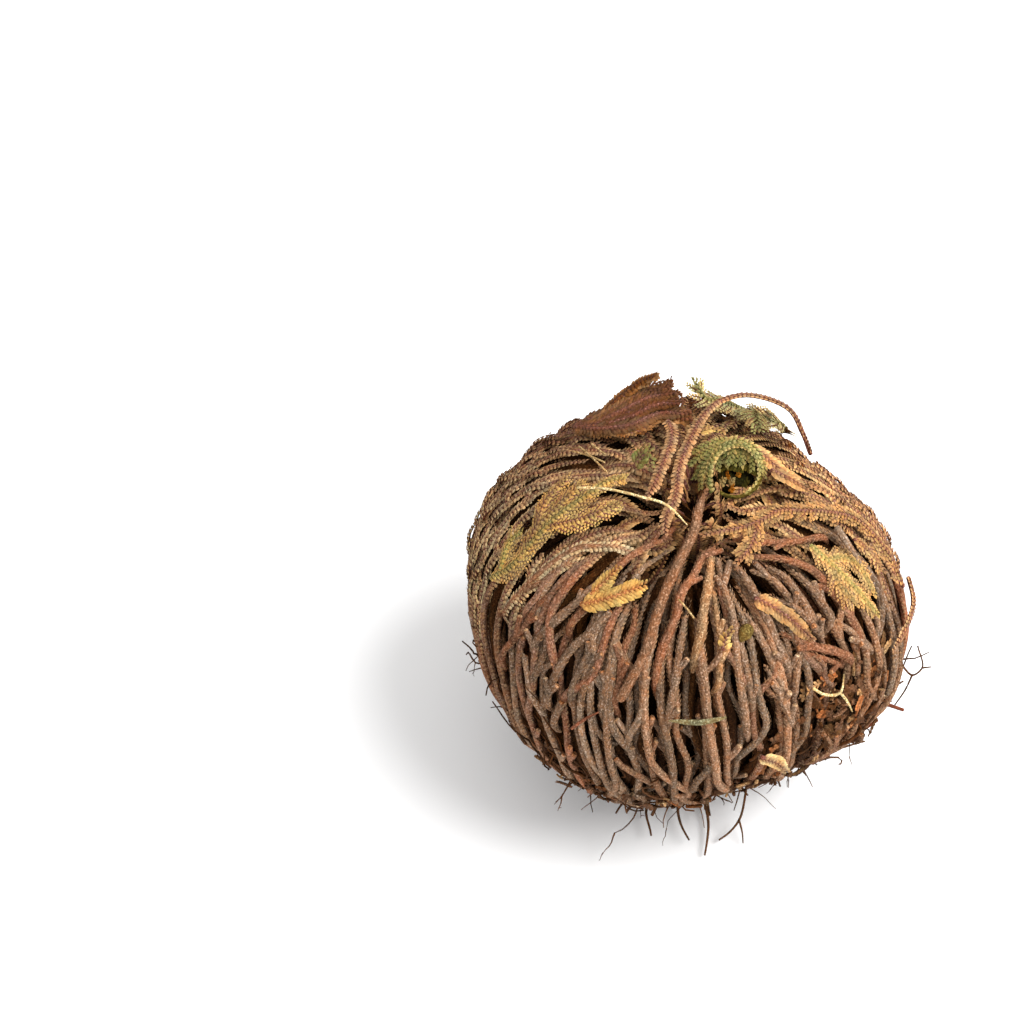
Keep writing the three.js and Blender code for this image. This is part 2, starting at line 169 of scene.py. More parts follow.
def skin(bearing, reach, depth, slit=1.0):
    """Points of the ball under its skin. slit is 0 for the heart, which neither leans nor is swept."""
    bearing, reach, depth = np.broadcast_arrays(*(np.asarray(x, float) for x in (bearing, reach, depth)))
    sweep = SWEEP * cos_deg(bearing - SWEEP_BEARING) * ease(SWEEP_FROM, SWEEP_TO, reach)
    push = PARTING_PUSH * (bearing - PARTING[0]) / PARTING[2] * nearness(bearing, reach, PARTING)
    around = bearing + (sweep + push) * slit
    lean = LEAN_MEAN + LEAN_SWING * slit * cos_deg(around - FRONT)
    direction = heading(around, 90 - reach)
    direction[..., 1] -= lean * (1 + cos_deg(reach)) / 2
    direction = unit(direction)
    rise = bump_height(direction) - depth
    point = direction * (BALL_RADIUS + rise)[..., None]
    point[..., 2] = BALL_CENTRE_Z + direction[..., 2] * (BALL_HALF_HEIGHT + rise)
    return point


def outward(points):
    """The ball's outward direction at each point."""
    spoke = np.array(points, float)
    spoke[..., 2] = (spoke[..., 2] - BALL_CENTRE_Z) * (BALL_RADIUS / BALL_HALF_HEIGHT) ** 2
    return unit(spoke)


def bearing_of(point):
    """The azimuth of a point, or of each of several."""
    return np.degrees(np.arctan2(point[..., 1], point[..., 0]))


def dice(seed):
    """The seeded dice that the solids grew by."""
    state = seed % 2147483647

    def roll():
        nonlocal state
        state = (state * 48271) % 2147483647
        return state / 2147483647

    return roll


def wave(seed, period, size):
    """A smooth, seeded random function of a number."""
    random = np.random.default_rng(seed)
    phases = random.uniform(0, 2 * np.pi, 3)
    rates = 2 * np.pi / (period * random.uniform(0.7, 1.4, 3))

    def value(x):
        return size * sum(np.sin(rates[i] * np.asarray(x, float) + phases[i]) for i in range(3)) / 2

    return value


def drift(random, period, size):
    """A wave with the next random seed."""
    return wave(random.integers(1 << 30), period, size)


# ---------------------------------------------------------------- lines

# Half the pitch of the scale leaves, which leave a stem left and right in turn.
STEP = 0.46


def smooth_line(points, per_span=14):
    """A centripetal Catmull-Rom line through the points."""
    points = np.asarray(points, float)
    p = np.vstack([2 * points[0] - points[1], points, 2 * points[-1] - points[-2]])
    t = np.linspace(0, 1, per_span, endpoint=False)[:, None]
    spans = []
    for before, here, there, after in zip(p, p[1:], p[2:], p[3:]):
        pairs = (before, here), (here, there), (there, after)
        d0, d1, d2 = (np.linalg.norm(b - a) ** 0.5 for a, b in pairs)
        m1 = ((here - before) / d0 - (there - before) / (d0 + d1) + (there - here) / d1) * d1
        m2 = ((there - here) / d1 - (after - here) / (d1 + d2) + (after - there) / d2) * d1
        c2 = -3 * here + 3 * there - 2 * m1 - m2
        c3 = 2 * here - 2 * there + m1 + m2
        spans.append(here + m1 * t + c2 * t**2 + c3 * t**3)
    return np.vstack([*spans, points[-1:]])


def lengths_along(line):
    """How far along the line each of its points is."""
    return np.concatenate([[0], np.cumsum(np.linalg.norm(np.diff(line, axis=0), axis=1))])


def resampled(line, ends, at):
    return np.stack([np.interp(at, ends, line[:, k]) for k in range(3)], -1)


def spaced(line, step=STEP):
    """The line again, with points evenly spaced by about the step."""
    ends = lengths_along(line)
    count = max(3, int(round(ends[-1] / step)) + 1)
    return resampled(line, ends, np.linspace(0, ends[-1], count))


def even_line(points, step=STEP):
    return spaced(smooth_line(points), step)


def line_frames(line, up):
    """The directions along the line, across it and over it, at each point."""
    along = unit(np.gradient(line, axis=0))
    across = unit(np.cross(along, up))
    return along, across, np.cross(across, along)


def frame_at(line, at):
    """The three directions at one point of a line that lies on the ball."""
    near = line[at - 2 : at + 3]
    return [ways[2] for ways in line_frames(near, outward(near))]


def places_on(line, wanted, least):
    """The wanted points away from the line's ends, or none if there are fewer than the least."""
    at = np.flatnonzero(wanted)
    at = at[(at > 2) & (at < len(line) - 3)]
    return at if len(at) >= least else at[:0]


def in_turn(count):
    """1 and -1 in turn, one line each."""
    return np.where(np.arange(count) % 2 == 0, 1.0, -1.0)[:, None]


# ---------------------------------------------------------------- growing meshes

# A scale leaf is a closed solid with a keel and a flat back. Its rim runs round from its base.
# The points are shares of its length, of its half width and of its thickness; the keel comes last.
BROAD_LEAF = np.array([
    [0, 0, 0], [0.3, -0.9, -0.1], [0.74, -0.8, 0], [1, 0, 0.15], [0.74, 0.8, 0], [0.3, 0.9, -0.1],
    [0.42, 0, 1],
], float)
NARROW_LEAF = np.array([[0, 0, 0], [0.5, -1, 0], [1, 0, 0.1], [0.5, 1, 0], [0.45, 0, 1]], float)


def leaf_faces(shape):
    """A leaf's triangles: from the rim to the keel, and a fan across the back."""
    rim = len(shape) - 1
    top = [[i, (i + 1) % rim, rim] for i in range(rim)]
    back = [[0, i + 1, i] for i in range(1, rim - 1)]
    return np.array(top + back)


def shell_faces(rings, sides):
    """Quads between rings of points, and the fans that shut both ends with two more points."""
    here = np.arange((rings - 1) * sides).reshape(-1, sides)
    beside = np.roll(here, -1, axis=1)
    quads = np.stack([here, here + sides, beside + sides, beside], -1).reshape(-1, 4)
    start, end = here[0], here[-1] + sides
    pole = np.full(sides, rings * sides)
    low = np.stack([start, np.roll(start, -1), pole], -1)
    high = np.stack([np.roll(end, -1), end, pole + 1], -1)
    return quads, np.vstack([low, high])


# A tube's round ends: how far out the last ring and the tip stand, and the ring's share of the radius.
CAP_OUT = 0.45
TIP_OUT = 0.15
CAP_RADIUS = 0.6
# A broken end is dark in its middle, and a leaf is dark along its keel.
PITH_SHADE = 0.35
KEEL_SHADE = 0.5
# Each tube and each leaf gets its grain from another part of this much bark.
GRAIN_ROOM = 300


class Growth:
    """Closed solids that become one piece. A vertex has a tone and a place in the bark's grain."""

    def __init__(self, seed):
        self.random = np.random.default_rng(seed)
        self.points, self.faces, self.tones, self.grain, self.kinds = [], [], [], [], []
        self.count = 0

    def add(self, points, faces, tones, grain, leaf=False):
        """Adds one solid or more, with faces in groups of as many corners each."""
        self.points.append(points)
        self.tones.append(np.broadcast_to(tones, points.shape))
        self.grain.append(grain)
        for group in faces:
            self.faces.append(group + self.count)
            self.kinds.append(np.full(len(group), int(leaf)))
        self.count += len(points)

    def tube(self, line, radius, tone, sides=8, up=None, every=1, end_tone=None):
        """A closed tube with round ends along a line, from one in so many of its points."""
        up = outward(line) if up is None else np.broadcast_to(up, line.shape)
        radius = np.broadcast_to(np.asarray(radius, float), len(line))
        tone = np.broadcast_to(tone, line.shape)
        line, up, radius, tone = (values[::every] for values in (line, up, radius, tone))
        along, across, over = line_frames(line, up)
        first = line[0] - along[0] * radius[0] * CAP_OUT
        last = line[-1] + along[-1] * radius[-1] * CAP_OUT
        turn = np.linspace(0, 2 * np.pi, sides, endpoint=False)
        ring = np.cos(turn)[:, None] * across[:, None] + np.sin(turn)[:, None] * over[:, None]
        rings = np.concatenate([
            first + ring[:1] * radius[0] * CAP_RADIUS,
            line[:, None] + ring * radius[:, None, None],
            last + ring[-1:] * radius[-1] * CAP_RADIUS,
        ])
        tips = first - along[0] * radius[0] * TIP_OUT, last + along[-1] * radius[-1] * TIP_OUT
        steps = lengths_along(rings.mean(1))
        grain = np.empty_like(rings)
        grain[..., 0] = np.cos(turn) * radius.mean()
        grain[..., 1] = np.sin(turn) * radius.mean()
        grain[..., 2] = steps[:, None]
        grain = np.vstack([grain.reshape(-1, 3), [[0, 0, 0], [0, 0, steps[-1]]]])
        tones = np.repeat(np.vstack([tone[:1], tone, tone[-1:]]), sides, 0)
        tones = np.vstack([tones, tone[:1], tone[-1:]])
        if end_tone is not None:
            tones[-2 - sides : -2] = end_tone
            tones[-1] = end_tone * PITH_SHADE
        grain = grain + self.random.uniform(0, GRAIN_ROOM, 3)
        self.add(np.vstack([rings.reshape(-1, 3), tips]), shell_faces(len(rings), sides), tones, grain)

    def leaves(self, form, base, along, face, length, half_width, thick, tone, base_tone, bend):
        """Scale leaves of a form, from their bases: along runs to the tip, face is the outer side."""
        count = len(base)
        if not count:
            return
        along = unit(along)
        across = unit(np.cross(face, along))
        over = np.cross(along, across)
        size = np.stack([np.broadcast_to(x, count) for x in (length, half_width, thick)], -1)
        shape = form[None] * size[:, None]
        curl = -bend * form[:, 0] ** 2 * size[:, :1]
        points = base[:, None] + along[:, None] * shape[..., :1] + across[:, None] * shape[..., 1:2]
        points = points + over[:, None] * (shape[..., 2:] + curl[..., None])
        tint = np.clip(2 * form[:, :1], 0, 1)
        tint[-1] *= KEEL_SHADE
        base_tone, tone = (np.broadcast_to(paint, (count, 3))[:, None] for paint in (base_tone, tone))
        grain = shape + self.random.uniform(0, GRAIN_ROOM, (count, 1, 3))
        faces = leaf_faces(form)[None] + len(form) * np.arange(count)[:, None, None]
        tones = mix(base_tone, tone, tint)
        points, faces, tones, grain = (values.reshape(-1, 3) for values in (points, faces, tones, grain))
        self.add(points, [faces], tones, grain, leaf=True)

    def piece(self, name, nodes, slot):
        """Makes the mesh object, lets it ride on the root body and stand for its solids."""
        mesh = bpy.data.meshes.new(name)
        points = (np.concatenate(self.points) + MIDDLE) * MM
        corners = np.concatenate([group.ravel() for group in self.faces])
        sizes = np.concatenate([np.full(len(group), group.shape[1]) for group in self.faces])
        starts = np.concatenate([[0], np.cumsum(sizes)[:-1]])
        kinds = np.concatenate(self.kinds)
        tones = np.clip(np.concatenate(self.tones), 0, 1)
        mesh.vertices.add(len(points))
        mesh.vertices.foreach_set("co", points.ravel().astype(np.float32))
        mesh.loops.add(len(corners))
        mesh.loops.foreach_set("vertex_index", corners.astype(np.int32))
        mesh.polygons.add(len(sizes))
        mesh.polygons.foreach_set("loop_start", starts.astype(np.int32))
        mesh.update(calc_edges=True)
        mesh.polygons.foreach_set("material_index", kinds.astype(np.int32))
        mesh.polygons.foreach_set("use_smooth", kinds == 0)
        tone = mesh.attributes.new("tone", "FLOAT_COLOR", "POINT")
        tone.data.foreach_set("color", np.c_[tones, np.ones(len(tones))].ravel().astype(np.float32))
        grain = mesh.attributes.new("grain", "FLOAT_VECTOR", "POINT")
        grain.data.foreach_set("vector", np.concatenate(self.grain).ravel().astype(np.float32))
        for look in (ROOT_LOOK, ROOT_LOOK) if slot == "root" else (BARK_LOOK, LEAF_LOOK):
            mesh.materials.append(look)
        mesh.validate()
        made = put(name, mesh)
        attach(made, "root")
        if nodes:
            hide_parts(*nodes)


def put(name, data):
    """A new object in the scene."""
    made = bpy.data.objects.new(name, data)
    bpy.context.scene.collection.objects.link(made)
    return made


# ---------------------------------------------------------------- materials

GLOSS = 0.06
# The bark's cells and flecks, and the patches and blushes that go over stems and leaves alike.
CELL_STRETCH = (1, 1, 0.55)
FLECK_SHARE = 0.7
PATCH_SIZE = 6
BLUSH_SIZE = 2.2
WARM_HUE = (1.14, 0.99, 0.85, 1)
COOL_HUE = (0.86, 0.95, 1.02, 1)


def plant_material(name, roughness, grain_size, stretch, mottle, bump, cell_size, fleck, fleck_most):
    """Dry plant: each vertex's tone, mottled and fibred along the stem, matt and bumpy.

    fleck says how many times lighter the flecks are, for red, green and blue, and fleck_most how far
    they cover what is under them. bump is in millimetres.
    """
    made = bpy.data.materials.new(name)
    made.use_nodes = True
    tree = made.node_tree
    shader = tree.nodes["Principled BSDF"]

    def feed(socket, value):
        if isinstance(value, bpy.types.NodeSocket):
            tree.links.new(value, socket)
        else:
            socket.default_value = value

    def node(kind, output, inputs, **settings):
        """Makes a node, feeds its inputs and returns the output that is asked for."""
        made_node = tree.nodes.new("ShaderNode" + kind)
        for key, value in settings.items():
            setattr(made_node, key, value)
        for key, value in inputs.items():
            feed(made_node.inputs[key], value)
        return made_node.outputs[output]

    def noise(vector, size, detail, rough=0.5):
        inputs = {"Vector": vector, "Scale": 1 / size, "Detail": detail, "Roughness": rough}
        return node("TexNoise", "Fac", inputs)

    def times(a, b, kind="VectorMath"):
        return node(kind, 0, {0: a, 1: b}, operation="MULTIPLY")

    def ramp(value, low, high, to_low, to_high, clamp=True):
        inputs = {"Value": value, "From Min": low, "From Max": high, "To Min": to_low, "To Max": to_high}
        return node("MapRange", 0, inputs, clamp=clamp)

    def blend(share, low, high):
        return node("MixRGB", 0, {"Fac": share, "Color1": low, "Color2": high})

    tone = node("Attribute", "Color", {}, attribute_name="tone")
    grain = node("Attribute", "Vector", {}, attribute_name="grain")
    place = node("TexCoord", "Object", {})
    fibre = noise(times(grain, (1, 1, stretch)), grain_size, 4.0, 0.65)
    cells = node("TexVoronoi", "Distance", {"Vector": times(grain, CELL_STRETCH), "Scale": 1 / cell_size})
    light = ramp(fibre, 0.3, 0.7, 1 - mottle, 1 + mottle, clamp=False)
    light = times(light, ramp(noise(place, PATCH_SIZE * MM, 3.0), 0.35, 0.65, 0.86, 1.14), "Math")
    light = times(light, ramp(cells, 0.15, 0.75, 1.1, 0.78), "Math")
    hue = blend(ramp(noise(place, BLUSH_SIZE * MM, 2.0), 0.36, 0.64, 0, 1), WARM_HUE, COOL_HUE)
    worn = ramp(noise(grain, FLECK_SHARE * grain_size, 3.0), 0.52, 0.68, 0, fleck_most)
    paint = blend(worn, times(times(tone, light), hue), times(tone, fleck))
    relief = node("Math", 0, {0: fibre, 1: cells}, operation="SUBTRACT")
    feed(shader.inputs["Specular IOR Level"], GLOSS)
    feed(shader.inputs["Base Color"], paint)
    feed(shader.inputs["Roughness"], ramp(fibre, 0, 1, roughness - 0.1, min(1.0, roughness + 0.1)))
    feed(shader.inputs["Normal"], node("Bump", 0, {"Height": relief, "Distance": bump * MM, "Strength": 0.8}))
    return made


BARK_LOOK = plant_material("bark", roughness=0.82, grain_size=0.5, stretch=0.4, mottle=0.5, bump=0.45,
                           cell_size=0.5, fleck=(2.5, 3.1, 3.9), fleck_most=0.85)
LEAF_LOOK = plant_material("scale_leaf", roughness=0.75, grain_size=0.5, stretch=0.5, mottle=0.22, bump=0.12,
                           cell_size=0.6, fleck=(1.3, 1.45, 1.75), fleck_most=0.5)
ROOT_LOOK = plant_material("root_fibre", roughness=0.88, grain_size=0.6, stretch=0.25, mottle=0.35, bump=0.3,
                           cell_size=0.5, fleck=(1.8, 1.8, 1.8), fleck_most=0.4)

# ---------------------------------------------------------------- leafy branchlets

# How far the scale leaves stand off their stem, in degrees: where they spread, and on bare stems.
SPREAD_ANGLE = 40
SHUT_ANGLE = 8
BARE_RADIUS = 0.88
CORE_RADIUS = 0.5

# Patches of colour on the leafy sides: bearing, reach, spread (both in degrees), colour and share.
PATCHES = (
    (-140, 62, 16, YELLOW, 0.3),
    (-158, 62, 34, DUN * 1.22, 0.75),
    (-170, 88, 22, GREEN, 0.35),
    (157, 50, 26, BROWN, 0.75),
    (68, 48, 20, BROWN, 0.5),
    (28, 30, 16, GREEN, 0.35),
    (-5, 32, 18, GOLD, 0.35),
    (-32, 52, 22, GOLD, 0.55),
    (-21, 75, 20, TAN, 0.5),
    (55, 100, 40, BROWN, 0.3),
)


def leaf_tone(bearing, reach, random, count):
    """The scale leaves' colours at a place, one line for each leaf."""
    tone = np.broadcast_to(mix(TAN, SAND, 0.3), (count, 3)).copy()
    bearing = np.broadcast_to(bearing, count)
    reach = np.broadcast_to(reach, count)
    for where, high, spread, paint, share in PATCHES:
        off = (bearing - where + 180) % 360 - 180
        near = share * np.exp(-((off * sin_deg(reach)) ** 2 + (reach - high) ** 2) / spread**2)
        tone = tone * (1 - near[:, None]) + paint * near[:, None]
    return tone * random.uniform(0.8, 1.15, (count, 1))


def clad(growth, line, wide, tone, up=None, leafy=1.0, core=CORE_RADIUS, core_tone=MIDRIB, medians=True):
    """Scale leaves in four ranks along a line whose points are half a pitch apart.

    wide is the half width that they reach, leafy is 1 where they spread and 0 where they lie on a
    bare stem. The medians are the two ranks of smaller leaves on the upper side.
    """
    count = len(line)
    random = growth.random
    up = outward(line) if up is None else np.broadcast_to(up, line.shape)
    along, across, over = line_frames(line, up)
    wide, leafy, core = (np.broadcast_to(np.asarray(x, float), count) for x in (wide, leafy, core))
    tone = np.broadcast_to(tone, (count, 3))
    core_tone = np.broadcast_to(core_tone, (count, 3))
    aside = in_turn(count) * across
    share = leafy[:, None]
    spread = np.radians(mix(SHUT_ANGLE, SPREAD_ANGLE, leafy) + random.uniform(-5, 5, count))[:, None]
    lean = np.radians(mix(74, 84, share))
    radial = unit(np.sin(lean) * aside + np.cos(lean) * over)
    base = line + radial * (core * (0.8 - 0.44 * leafy))[:, None]
    tip = np.cos(spread) * along + np.sin(spread) * aside
    tip = tip + radial * 0.22 * (1 - share) + over * share * random.normal(0.1, 0.05, (count, 1))
    face = unit(mix(radial, over + 0.35 * aside, share))
    length = mix(1.15, wide * 0.92 / sin_deg(SPREAD_ANGLE), leafy) * random.uniform(0.88, 1.1, count)
    half = mix(0.32, 0.5, leafy) * np.clip(wide / 1.2, 0.6, 1.15)
    keep = random.random(count) < 0.7 + 0.3 * np.clip(leafy * 3, 0, 1)
    paint = tone * random.uniform(0.85, 1.12, (count, 1))
    low_tone = mix(core_tone, tone, 0.25)
    thick = 0.13 + 0.05 * leafy
    for form, ones in ((BROAD_LEAF, keep & (leafy > 0.4)), (NARROW_LEAF, keep & (leafy <= 0.4))):
        growth.leaves(form, base[ones], tip[ones], face[ones], length[ones], half[ones], thick[ones],
                      paint[ones], low_tone[ones], bend=0.08)
    if not medians:
        return
    radial = unit(0.42 * aside + over)
    base = line + radial * (core * 0.8)[:, None]
    tip = along + aside * (0.08 + 0.3 * share) + radial * 0.16
    length = (0.85 + 0.25 * leafy) * random.uniform(0.85, 1.1, count)
    half = 0.28 + 0.08 * leafy
    keep = random.random(count) < 0.6 + 0.4 * np.clip(leafy * 3, 0, 1)
    paint = mix(tone, core_tone, 0.5) * random.uniform(0.8, 1.2, (count, 1))
    growth.leaves(NARROW_LEAF, base[keep], tip[keep], radial[keep], length[keep], half[keep], 0.12,
                  paint[keep], core_tone[keep] * 0.9, bend=0.05)


def grow_twig(growth, line, stem, wide, tone, up=None, core=0.4, core_tone=MIDRIB, sides=5):
    """A thin stem clad in spread scale leaves."""
    growth.tube(line, stem, core_tone, sides=sides, up=up, every=3)
    clad(growth, line, wide, tone, up=up, core=core, core_tone=core_tone)


# ---------------------------------------------------------------- the two layers of fronds

OUTER = {"name": "frond_outer", "count": 20, "turn": 4, "depth": 1.25, "dive": 6, "dive_from": 26,
         "radius": 1.25, "leafy": True, "tip": 10, "forks": ((-1, 148, 20), (1, 138, 25))}
INNER = {"name": "frond_inner", "count": 14, "turn": 11, "depth": 3.95, "dive": 3, "dive_from": 60,
         "radius": 1.15, "leafy": False, "tip": 24, "forks": ((-1, 142, 32), (1, 134, 36))}
SCALE_WIDE = 1.6
NECK_RADIUS = 11.5
NECK_GAP = 0.55
# What a frond fills of the room beside it, and what stays free between two of them.
ROOM_SHARE = 0.86
CLEARANCE = 0.34
# Where the fronds are barest, and the reach above which they are leafy: there, and on the other side.
BAREST = -78
LEAFY_FRONT = 10
LEAFY_BACK = 90
# The inner stems get less light, and what they get is warm.
INNER_DARK = np.array([0.52, 0.44, 0.34])
# How much deeper the stems between lie where the others part.
HOLLOW_DEPTH = 4.0
# How much of the scales' colour the few scales on bare bark have.
BARE_SCALE_SHARE = 0.45
# Where less light gets between the stems: bearing, reach, width, height and how much is lost.
HOLLOWS = ((-40, 83, 12, 12, 0.6), (-115, 68, 16, 22, 0.3))

# Stems between the solids' ones: the stem they leave, their lane, where they part and end.
OUTER_EXTRAS = (
    {"parent": 0, "lane": -0.37, "start": 128, "end": 12, "deeper": 1.5},
    {"parent": 0, "lane": 0.37, "start": 118, "end": 16, "deeper": 2.0},
    {"parent": 2, "lane": 1.0, "start": 122, "end": 14, "deeper": 1.2},
)
INNER_EXTRAS = (
    {"parent": 0, "lane": -0.4, "start": 120, "end": 16, "deeper": 0.8},
    {"parent": 0, "lane": 0.4, "start": 112, "end": 12, "deeper": 0.5},
    {"parent": 2, "lane": 1.0, "start": 116, "end": 18, "deeper": 0.7},
)


def leafy_from(bearing):
    """The reach above which a frond is leafy: the front stems are bare up to the gather."""
    off = np.degrees(np.arccos(np.clip(cos_deg(bearing - BAREST), -1, 1)))
    return mix(LEAFY_FRONT, LEAFY_BACK, ease(20, 85, off))


def half_room(layer, bearing, reach, depth):
    """Half the width that a frond has between its neighbours."""
    half = 180 / layer["count"]
    left, middle, right = (skin(bearing + aside, reach, depth) for aside in (-half, 0, half))
    room = np.minimum(np.linalg.norm(left - middle, axis=-1), np.linalg.norm(right - middle, axis=-1))
    return room * ROOM_SHARE - CLEARANCE / 2


def reach_at_neck(bearing, depth):
    """The reach at which a line down the ball comes to the root crown's neck."""
    low, high = 120.0, 178.0
    for _ in range(30):
        middle = (low + high) / 2
        if np.hypot(*skin(bearing, middle, depth)[:2]) > NECK_RADIUS + NECK_GAP:
            low = middle
        else:
            high = middle
    return low


def layer_depth(layer, reach):
    return layer["depth"] + layer["dive"] * ease(layer["dive_from"], 12, reach)


def solid_stems(layer, bearing, random):
    """The stems that the solids have, with their lanes between the frond's two neighbours."""
    phase = random() * 360

    def wander(reach):
        return 0.2 * sin_deg(phase + reach * 2.1)

    def placed(lane, to):
        def at(reach):
            taper = 0.4 + 0.6 * ease(0, 22, reach - to)
            room = half_room(layer, bearing, reach, layer_depth(layer, reach))
            leafy = layer["leafy"] and leafy_from(bearing)
            wide = np.minimum(room, taper * np.where(reach < leafy, SCALE_WIDE, layer["radius"]))
            return (1 - wide / room) * lane(reach)

        return at

    main_to = layer["tip"] + 5 * random()
    stems = [{"from": reach_at_neck(bearing, layer["depth"]), "to": main_to, "lane": placed(wander, main_to)}]
    for side, start, end in layer["forks"]:
        parting = start - 16 * random()

        def fork(reach, side=side, parting=parting):
            aside = side * (0.88 + 0.1 * sin_deg(phase + reach * 3))
            return mix(wander(reach), aside, ease(parting, parting - 20, reach))

        to = end + 10 * random()
        stems.append({"from": parting, "to": to, "lane": placed(fork, to)})
    return [{**stem, "deeper": 0.0, "crowd": 1.5 * min(k, 1), "seed": k, "extra": False}
            for k, stem in enumerate(stems)]


def extra_stems(stems, extras, random, missing):
    """Stems that part from the solids' stems and lie a little deeper between them; some are missing."""
    made = []
    for k, extra in enumerate(extras):
        if random.random() < missing:
            continue
        parent = stems[extra["parent"]]
        start = extra["start"] + random.uniform(-9, 9)
        stray = drift(random, 60, 0.1)

        def lane(reach, parent=parent, extra=extra, start=start, stray=stray):
            return mix(parent["lane"](reach), extra["lane"] + stray(reach), ease(start, start - 24, reach))

        made.append({
            "from": start, "to": extra["end"] + random.uniform(-8, 12), "lane": lane,
            "deeper": extra["deeper"] + random.uniform(-0.4, 0.5), "crowd": random.uniform(1, 5),
            "seed": 10 + k, "extra": True,
        })
    return made


def stem_line(layer, bearing, stem):
    """A stem's points half a leaf pitch apart, with the reach of each."""
    reach = np.linspace(stem["from"], stem["to"], 160)
    sway = wave(SEED + int(bearing * 13) + stem["seed"], 42, 0.28)
    stray = wave(SEED + int(bearing * 29) + stem["seed"], 34, 0.14 if stem["extra"] else 0.07)
    parted = ease(stem["from"], stem["from"] - 16, reach)
    depth = layer_depth(layer, reach) + stem["deeper"] * parted + sway(reach)
    depth = depth + stem["crowd"] * ease(46, 16, reach)
    around = bearing + (stem["lane"](reach) + stray(reach) * parted) * 180 / layer["count"]
    if stem["extra"]:
        depth = depth + HOLLOW_DEPTH * nearness(around, reach, PARTING)
    line = skin(around, reach, depth)
    ends = lengths_along(line)
    at = np.linspace(0, ends[-1], max(6, int(ends[-1] / STEP)))
    return resampled(line, ends, at), np.interp(at, ends, reach)


def hollow_shade(bearing, reach):
    """How much light the stems get: less in the littered hollow and low on the left."""
    shade = 1.0
    for *place, share in HOLLOWS:
        shade = shade * (1 - share * nearness(bearing, reach, place))
    return shade


def bark_tone(random):
    """A stem's colour: grey-brown, and redder or greyer on some."""
    tone = mix(BARK, BARK_GREY, random.uniform(0, 1))
    if random.random() < 0.35:
        tone = mix(tone, BARK_RED, random.uniform(0.2, 0.7))
    return tone * random.uniform(0.75, 1.15)


def grow_stem(growth, layer, bearing, stem, dark):
    """One stem: bare bark below, clad in scale leaves above, tapering to its tip."""
    random = growth.random
    line, reach = stem_line(layer, bearing, stem)
    start = leafy_from(bearing) if layer["leafy"] else min(62.0, leafy_from(bearing) + 4)
    leafy = ease(start + 7, start - 9, reach)
    share = leafy[:, None]
    taper = 0.35 + 0.65 * ease(0, 20, reach - stem["to"])
    thick = random.uniform(0.78, 0.95) if stem["extra"] else random.uniform(0.9, 1.03)
    knots = 1 + drift(random, 9, 0.07)(np.arange(len(line)) * STEP)
    bare = BARE_RADIUS * thick * taper * knots * (1 - 0.16 * ease(112, 92, reach))
    core = mix(bare, CORE_RADIUS * taper, leafy)
    # Painted shade: the extra stems, which lie deeper between the others, are painted darker.
    bark = bark_tone(random) * dark * (0.72 if stem["extra"] else 1.0)
    tone = mix(mix(BARK_DARK * dark, bark, ease(150, 110, reach)[:, None]), MIDRIB * dark, share)
    tone = tone * hollow_shade(bearing_of(line), reach)[:, None]
    growth.tube(line, core, tone, sides=8 if layer["leafy"] else 6, every=4)
    clad_from = np.argmax(reach < 122) if reach.min() < 122 else len(line)
    if len(line) - clad_from > 8:
        part = slice(clad_from, None)
        leaf = leaf_tone(bearing, reach[part], random, len(line) - clad_from) * dark
        paint = mix(mix(bark, SCALE * dark, BARE_SCALE_SHARE), leaf, share[part])
        clad(growth, line[part], (1.3 if layer["leafy"] else 1.1) * taper[part], paint,
             leafy=leafy[part], core=core[part], core_tone=tone[part], medians=layer["leafy"])
    return line, reach, bark


def grow_stubs(growth, line, reach, bark, count):
    """Short stubs of side stems that have broken off, with orange-brown ends."""
    random = growth.random
    bare = places_on(line, (reach > 58) & (reach < 140), 20)
    for _ in range(count if len(bare) else 0):
        at = random.choice(bare)
        along, across, over = frame_at(line, at)
        side = random.choice([-1, 1])
        length = random.uniform(1.8, 4.2)
        way = unit(along + side * across * random.uniform(0.35, 0.8) + over * random.uniform(0, 0.35))
        t = np.linspace(0, 1, 4)[:, None]
        stub = line[at] + way * length * t + along * length * 0.15 * t**2
        radius = np.linspace(0.75, 0.6, 4) * random.uniform(0.8, 1.1)
        growth.tube(stub, radius, bark, end_tone=mix(SCALE, BROKEN, random.uniform(0, 1)))


